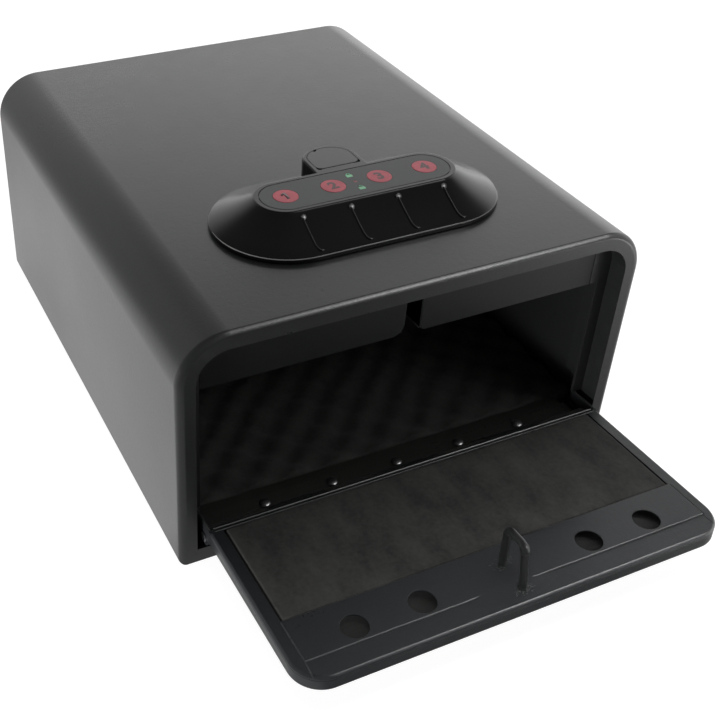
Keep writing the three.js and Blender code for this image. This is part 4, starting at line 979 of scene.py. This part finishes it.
def rivets():
    top = PIVOT_Z - KNUCKLE + LEAF + 0.3
    tail = SILL_TOP - 1.5 - 0.3
    head, rise = RIVET_HEAD
    shank = 1.6
    profile = [(0, tail - 1), (head * 0.8, tail - 1), (head * 0.8, tail), (shank, tail), (shank, top)]
    profile += [(head, top)] + oval(0, top + 0.15, head, rise, 0, QUARTER, 8)
    for i, x in enumerate(RIVET_PLACES, 1):
        rivet = build(f"hinge_rivet_{i}", *lathe(profile, x, PIVOT_Y + RIVET_BACK, 32))
        soften(rivet, 0.12, angle=50)
        dress(rivet, "safe", bright_steel, "zinc_steel", f"sill_rivet_{i}")


# Floor mat

def mat_drop(x, y, across, along):
    """How far the mat's top lies under its highest, with across and along in half waves."""
    drift = 0.5 * noise.noise((x * 0.03, y * 0.03, 9.0))
    swell = cos(pi * across + drift) * cos(pi * along - drift)
    swell = copysign(abs(swell) ** 0.85, swell)
    return MAT_WAVE * (1 - swell) / 2 + 0.45 * (1 + noise.noise((x * 0.05, y * 0.05, 2.0)))


def floor_mat():
    front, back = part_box("floor_mat")
    x0, y0, z0 = (c / MM for c in front)
    x1, y1, _ = (c / MM for c in back)
    across = 2 * round((x1 - x0) / MAT_PITCH)
    along = 2 * round((y1 - y0) / MAT_PITCH)
    nx, ny = 150, 160
    row = nx + 1
    top = []
    for j in range(ny + 1):
        for i in range(row):
            s, t = i / nx, j / ny
            x, y = x0 + (x1 - x0) * s, y0 + (y1 - y0) * t
            top.append((x, y, z0 + MAT_THICKNESS - mat_drop(x, y, across * s, along * t)))
    starts = [j * row + i for j in range(ny) for i in range(nx)]
    faces = [(a, a + 1, a + row + 1, a + row) for a in starts]
    foot = len(top)
    back_row = foot - row
    rim = [*range(row), *range(row + nx, foot, row)]
    rim += [*range(foot - 2, back_row - 1, -1), *range(back_row - row, 0, -row)]
    count = len(rim)
    for k in range(count):
        n = (k + 1) % count
        faces.append((rim[n], rim[k], foot + k, foot + n))
    faces.append(tuple(range(foot, foot + count)))
    mat = build("foam_mat", top + [(top[i][0], top[i][1], z0) for i in rim], faces)
    dress(mat, "safe", mat_foam, "foam", "floor_mat")


# Keypad. Heights are above the box's top.

def skirt_y(height):
    return PAD_Y + PAD_SHIFT * height / PAD_RISE


def skirt_radius(height):
    share = (height - SKIRT_LOW) / (SKIRT_HIGH - SKIRT_LOW)
    straight = (FLANGE - 0.9) + (CROWN + 0.3 - FLANGE + 0.9) * share
    return straight - 1.0 * sin(pi * share)


def skirt_ring(radius, height):
    return at_z(stadium(PAD_LENGTH, radius, skirt_y(height)), TOP + height)


def arch(half, y0, y1, corner=0.0):
    """A flat front, with its corners rounded where one is given, and a half oval behind it."""
    spring = y1 - half * 0.8
    points = oval(0, spring, half, y1 - spring, 0, pi, 40)
    if not corner:
        return [(-half, y0), (half, y0)] + points
    left = arc(corner - half, y0 + corner, corner, pi, 3 * QUARTER, 6)
    right = arc(half - corner, y0 + corner, corner, -QUARTER, 0, 6)
    return left + right + points


def rib(x):
    """A raised line down the front of the skirt, from a small dome to a hook at its foot."""
    def on_skirt(dx, height, lift=0.05):
        return (x + dx, skirt_y(height) - skirt_radius(height) - lift, TOP + height + lift)

    high, low = SKIRT_HIGH - 1.6, SKIRT_LOW + 0.7
    hook = ((0.2, 1.0), (0.6, 0.5), (1.2, 0.15), (2.1, 0.0), (3.0, 0.0))
    path = [on_skirt(0, high + (low + 1.5 - high) * i / 12) for i in range(13)]
    path += [on_skirt(dx, low + rise) for dx, rise in hook]
    scales = [1.0] * (len(path) - 2) + [0.9, 0.6]
    return [tube(path, 0.55, 12, scales), dome(Vector(on_skirt(0.3, high + 0.2, 0.42)))]


def dome(tip):
    """A shallow dome that stands on the skirt's slope."""
    radius, tilt, step = 7.5, radians(51), 1.6
    lean = Matrix.Rotation(tilt, 3, "X")
    centre = tip + radius * Vector((0, sin(tilt), -cos(tilt)))
    rings = []
    for level in range(1, 9):
        polar = radians(step * level)
        ring = at_z(circle(radius * sin(polar), steps=24), radius * cos(polar))
        rings.append([tuple(centre + lean @ Vector(point)) for point in ring])
    root = Vector((0, -0.5, 0.85)) * 1.6
    return stack(rings + [[tuple(Vector(point) - root) for point in rings[-1]]])


def skirt():
    """The housing's outside, from its foot to its crown."""
    rise = FLANGE_RISE
    foot = ((0.25, 0.3), (0, 0.55), (0, rise - 0.2), (0.22, rise + 0.06), (0.5, rise + 0.22))
    crown = ((0.1, 0.25), (0.35, 0.07), (0.75, 0))
    levels = 14
    rings = [skirt_ring(FLANGE - inset, height) for inset, height in foot]
    for i in range(levels + 1):
        height = SKIRT_LOW + (SKIRT_HIGH - SKIRT_LOW) * i / levels
        rings.append(skirt_ring(skirt_radius(height), height))
    return stack(rings + [skirt_ring(CROWN - inset, PAD_RISE - drop) for inset, drop in crown])


def skirt_hollow(roof):
    slant = WALL * 1.25
    middle = PAD_RISE / 2
    return stack([
        skirt_ring(FLANGE - slant - 1.6, -0.7),
        skirt_ring(skirt_radius(SKIRT_LOW) - slant, FLANGE_RISE - 0.5),
        skirt_ring(skirt_radius(middle) - slant - 0.6, middle - 1.5),
        skirt_ring(CROWN + 1, roof)])


def key_boss():
    """The boss of the key override behind the crown, with a fillet at its foot."""
    levels = [(-1.6, 0.3), (-1.45, 1.2), (-1.1, 1.9), (-0.6, 2.6), (-0.2, 3.6), (0, 5)]
    crown = ((0, 1.1), (0.15, 0.6), (0.45, 0.2), (0.9, 0))
    levels += [(inset, PAD_RISE - drop) for inset, drop in crown]
    return stack([
        at_z(arch(BOSS_HALF - inset, CROWN_Y + LABEL + 1, BOSS_END - inset), TOP + height)
        for inset, height in levels])


def keypad_shell():
    roof = PAD_RISE - RECESS - WALL
    floor = CROWN_Z - LID_THICKNESS - LID_GAP
    top = CROWN_Z + OVER
    shell = build("keypad_shell", *skirt())
    boolean(shell, [part for x in BUTTON_PLACES for part in rib(x)], "UNION")
    boolean(shell, [skirt_hollow(roof)])
    boolean(shell, [key_boss()], "UNION")
    recess = stadium(PAD_LENGTH - 0.5, LABEL, CROWN_Y)
    pin_bore = circle(LID_PIN + 0.18, LID_HINGE_Y, LID_HINGE_Z, 16)
    boolean(shell, [
        prism(recess, CROWN_Z - RECESS, top),
        *[post(BUTTON + 0.3, TOP + roof - OVER, top, x, CROWN_Y) for x in BUTTON_PLACES],
        prism(arch(LID_HALF, LID_FRONT, LID_END, corner=1.5), floor, top),
        post(9.5, TOP + WALL + 0.3, floor + OVER, 0, KEY_Y),
        post(KEY_HOLE, TOP - OVER, floor, 0, KEY_Y),
        prism_x(pin_bore, -LID_HALF - 1.1, LID_HALF + 1.1),
    ])
    soften(shell, 0.22, angle=38)
    dress(shell, "safe", plastic, "keypad_plastic", "keypad_housing")


def keypad_edge():
    """A fine pale tube on the housing's foot, round its left end and along its front: a painted
    highlight on the foot's edge.
    """
    y, radius = skirt_y(FLANGE_RISE), FLANGE - 0.22
    left = arc(-PAD_LENGTH, y, radius, radians(176), radians(270), 30)
    right = arc(PAD_LENGTH, y, radius, -QUARTER, radians(-52), 10)
    path = at_z(left + right, TOP + FLANGE_RISE - 0.02)
    last = len(path) - 1
    scales = [min(1.0, 0.2 + i / 10, 0.2 + (last - i) / 10) for i in range(last + 1)]
    edge = build("keypad_edge", *tube(path, 0.25, 10, scales))
    dress(edge, "safe", painted_highlight_plastic, "keypad_plastic")


def keypad_label():
    outline = stadium(PAD_LENGTH - 0.5, LABEL - 0.45, CROWN_Y)
    label = build("keypad_label", *prism(outline, LABEL_LOW, LABEL_LOW + LABEL_THICKNESS))
    low, high = LABEL_LOW - OVER, LABEL_LOW + 2 * OVER
    boolean(label, [post(BUTTON + 0.07, low, high, x, CROWN_Y) for x in BUTTON_PLACES])
    soften(label, 0.12)
    dress(label, "safe", film, "overlay_plastic", "keypad_overlay")


def numeral(number):
    """A digit as a thin solid. The 1 is drawn from given points, with a broad foot to its flag."""
    name, half = f"numeral_{number}", 0.03
    if number == 1:
        stroke = [(-0.5, -3.1), (1.1, -3.1), (1.1, 3.1), (-0.3, 3.1)]
        flag = [(-2.1, 1.7), (-1.9, 0.4), (-0.5, 1.2)]
        return build(name, *prism(stroke + flag, -half, half))
    curve = bpy.data.curves.new(name, "FONT")
    curve.body = str(number)
    curve.size = 8.8 * MM
    curve.extrude = half * MM
    curve.offset = 0.4 * MM
    curve.align_x = curve.align_y = "CENTER"
    curve.resolution_u = 6
    digit = added(name, curve)
    graph = bpy.context.evaluated_depsgraph_get()
    mesh = bpy.data.meshes.new_from_object(digit.evaluated_get(graph))
    bpy.data.objects.remove(digit)
    bpy.data.curves.remove(curve)
    mesh.name = name
    return added(name, mesh)


def buttons():
    low = CROWN_Z - RECESS - WALL - 1.5
    roof = low + 1.2
    top = CROWN_Z + BUTTON_RISE
    edge, rise = BUTTON_EDGE
    profile = [(0, low), (BUTTON + 1, low), (BUTTON + 1, roof), (BUTTON, roof)]
    profile += oval(BUTTON - edge, top - 0.3, edge, rise, 0, QUARTER, 5)
    profile += [(BUTTON * 0.5, top), (0, top)]
    for i, x in enumerate(BUTTON_PLACES, 1):
        cap = build(f"button_cap_{i}", *lathe(profile, x, CROWN_Y, 64))
        soften(cap, 0.1, angle=50)
        body = f"push_button_{i}"
        dress(cap, body, red, "red_plastic", f"button_{i}")
        digit = numeral(i)
        digit.data.transform(Matrix.Translation((x * MM, CROWN_Y * MM, (top - 0.005) * MM)))
        dress(digit, body, ink, "overlay_plastic")


def padlock_sign(name, y, unlocked, replaced, material, size):
    """A small padlock sign set flush in the label. Where it is unlocked, its bow stands open."""
    z = LABEL_LOW + LABEL_THICKNESS
    w, h, corner, proud = 1.9 * size, 1.4 * size, 0.4, 0.03
    a, b = w - corner, h - corner
    body = []
    for turn, (cx, cy) in enumerate(((a, b), (-a, b), (-a, -b), (a, -b))):
        body += arc(cx, cy, corner, turn * QUARTER, (turn + 1) * QUARTER, 4)
    span = 12 if unlocked else 16
    bow = oval(0, h + 0.2 * size, size, 1.05 * size, 0, pi * span / 16, span)
    bow = [(bow[0][0], h - 0.2)] + bow + ([] if unlocked else [(bow[-1][0], h - 0.2)])
    verts, faces = merged(prism(body, -0.25, proud), tube(at_z(bow, 0.0), 0.28 * size, 8))
    verts = [(x - 0.8, y + v, z + (c if abs(c) < 0.3 else proud)) for x, v, c in verts]
    sign = build(name, verts, faces)
    fuse(sign, 0.09)
    dress(sign, "safe", material, "lens_plastic", replaced)


def padlock_signs():
    padlock_sign("sign_locked", CROWN_Y + LENS_SPACING - 0.6, False, "status_lens_1", green, 0.9)
    padlock_sign("sign_status", CROWN_Y - 0.4, False, "status_lens_2", dull_red, 0.5)
    padlock_sign("sign_open", CROWN_Y - LENS_SPACING - 0.6, True, "status_lens_3", green, 0.9)


def key_lid():
    """The lid about its own hinge line, with its barrel, its pins and a notch for a nail."""
    half, corner = LID_THICKNESS / 2, 2.6
    reach = LID_END - LID_GAP - LID_HINGE_Y
    lid = build("key_lid", *prism(arch(LID_HALF - LID_GAP, 0.0, reach, corner), -half, half))
    barrel = prism_x(circle(half, steps=24), corner - LID_HALF, LID_HALF - corner)
    pins = prism_x(circle(LID_PIN, steps=16), -LID_HALF - 0.8, LID_HALF + 0.8)
    boolean(lid, [barrel, pins], "UNION")
    boolean(lid, [ball(1.5, (-4.5, reach - 0.5, half + 0.6))])
    soften(lid, 0.2, angle=38)
    dress(lid, "key_lid", lid_plastic, "keypad_plastic", "key_cover")


# CAD nodes that keep their own shape, by material and by the width of their softened edges

KEPT = (
    (coat, 0.25, ("back_panel", "floor_pan", "door_stop_left", "door_stop_right")),
    (sill_coat, 0.25, ("sill_channel",)),
    # The lock cover gets the darker copy of the coat, as painted shade.
    (cover_coat_painted_shade, 0.25, ("lock_cover",)),
    (zinc, 0.15, (
        "hinge_pin", "latch_hook", "latch_post", "latch_clip", "solenoid_plunger", "key_cylinder",
        "key_cam", "key_nut", "cover_stud_1", "cover_stud_2", "cover_nut_1", "cover_nut_2")),
    (zinc, 0, (
        "latch_spring", "board_screw_1", "board_screw_2", "housing_screw_1", "housing_screw_2",
        "battery_contact_front", "battery_contact_back")),
    (coil_metal, 0.2, ("solenoid",)),
    (brass, 0.1, ("key_plug",)),
    (board_green, 0, ("circuit_board",)),
    (tray_plastic, 0.2, ("battery_tray", "battery_door")),
    (cell_blue, 0.15, ("battery_cell_1", "battery_cell_2", "battery_cell_3", "battery_cell_4")),
)


def keep_nodes():
    for material, width, names in KEPT:
        for name in names:
            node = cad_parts[name]
            node.data.materials.clear()
            node.data.materials.append(material)
            node.modifiers.new("weld", "WELD").merge_threshold = MERGE
            if width:
                soften(node, width)


# Floor, light and world

def stage_floor():
    """A pale floor that the camera sees as white, and gloss sees as white in places."""
    size = FLOOR_HALF / MM
    floor = build("floor", *block(-size, size, -size, size, -1.0, -0.2))
    s = Shader("floor_white", (0.2, 0.2, 0.2), 0.9, Specular_IOR_Level=0.0, Emission_Color=(1, 1, 1, 1))
    rays = s.node("ShaderNodeLightPath").outputs
    place = s.axes(s.place)
    x, y = place["X"], place["Y"]
    behind = s.math("MINIMUM", s.span(y, *GLOW_BACK), s.span(y, *GLOW_FAR))
    beside = s.math("MINIMUM", s.span(x, *GLOW_SIDE), s.span(y, *GLOW_FRONT))
    near = s.math("MAXIMUM", s.span(x, *GLOW_ACROSS), s.math("MAXIMUM", behind, beside))
    glow = s.math("MULTIPLY", rays["Is Glossy Ray"], near)
    seen = s.math("MAXIMUM", rays["Is Camera Ray"], glow)
    seen = s.math("MAXIMUM", seen, rays["Is Transmission Ray"])
    s.put(s.inputs["Emission Strength"], s.math("MULTIPLY", seen, FLOOR_GLOW))
    floor.data.materials.append(s.material)


def studio_world():
    """A pale room: bright low down and behind, darker overhead and in front."""
    scene.world = bpy.data.worlds.new("studio")
    scene.world.use_nodes = True
    s = Nodes(scene.world.node_tree)
    place = s.node("ShaderNodeTexCoord").outputs["Generated"]
    axes = s.axes(place)
    facing = {0: place, 1: (sin(ROOM_TURN), cos(ROOM_TURN), 0)}
    away = s.node("ShaderNodeVectorMath", facing, operation="DOT_PRODUCT").outputs["Value"]
    low, behind, left = (
        s.span(value, *stops, interpolation_type="SMOOTHSTEP")
        for value, stops in ((axes["Z"], ROOM_HEIGHT), (away, ROOM_DEPTH), (axes["X"], ROOM_LEFT)))
    level = s.math("MULTIPLY", s.math("MULTIPLY", low, behind), left)
    camera_ray = s.node("ShaderNodeLightPath").outputs["Is Camera Ray"]
    background = s.tree.nodes["Background"].inputs
    s.put(background["Strength"], s.math("MAXIMUM", level, camera_ray))
    s.put(background["Color"], (1, 1, 1, 1))


def softbox(name, place, target, size, power, gloss_only=False, spread=180):
    """A rectangular lamp. It lights colour alone, unless it is for gloss alone."""
    lamp = bpy.data.lights.new(name, "AREA")
    lamp.shape = "RECTANGLE"
    lamp.size, lamp.size_y = size
    lamp.energy = power
    lamp.spread = radians(spread)
    obj = added(name, lamp)
    obj.location = place
    obj.rotation_euler = (Vector(target) - Vector(place)).to_track_quat("-Z", "Y").to_euler()
    obj.visible_camera = False
    obj.visible_glossy = gloss_only
    obj.visible_diffuse = not gloss_only


def studio_lamps():
    softbox("edge", (0.78, -1.03, 1.16), (0, -0.1, 0.1), (1.0, 0.75), 10.5, gloss_only=True)
    softbox("spark", (0.84, -1.1, 1.05), (0, -0.1, 0.1), (0.3, 0.3), 8, gloss_only=True)
    softbox("card", (0.34, -0.42, 0.02), (0.24, -0.36, 0.3), (0.3, 0.24), 1.2, gloss_only=True)
    softbox("overhead", (0, 0.1, 1.4), (0, 0, 0), (1.4, 1.4), 8.5)
    softbox("left", (-1.5, -0.6, 0.06), (0, -0.14, 0.06), (0.8, 0.1), 21.5)
    softbox("door", (0, -0.34, 0.62), (0, -0.33, 0), (0.24, 0.14), 0.17, spread=30)


place_camera()
steel_box()
door_panel()
door_plate()
door_foam()
door_staple()
plate_weld()
weld_spatter()
door_lip()
hinge()
rivets()
floor_mat()
keypad_shell()
keypad_edge()
keypad_label()
buttons()
padlock_signs()
key_lid()
keep_nodes()
stage_floor()
studio_world()
studio_lamps()

scene.view_settings.view_transform = "Standard"
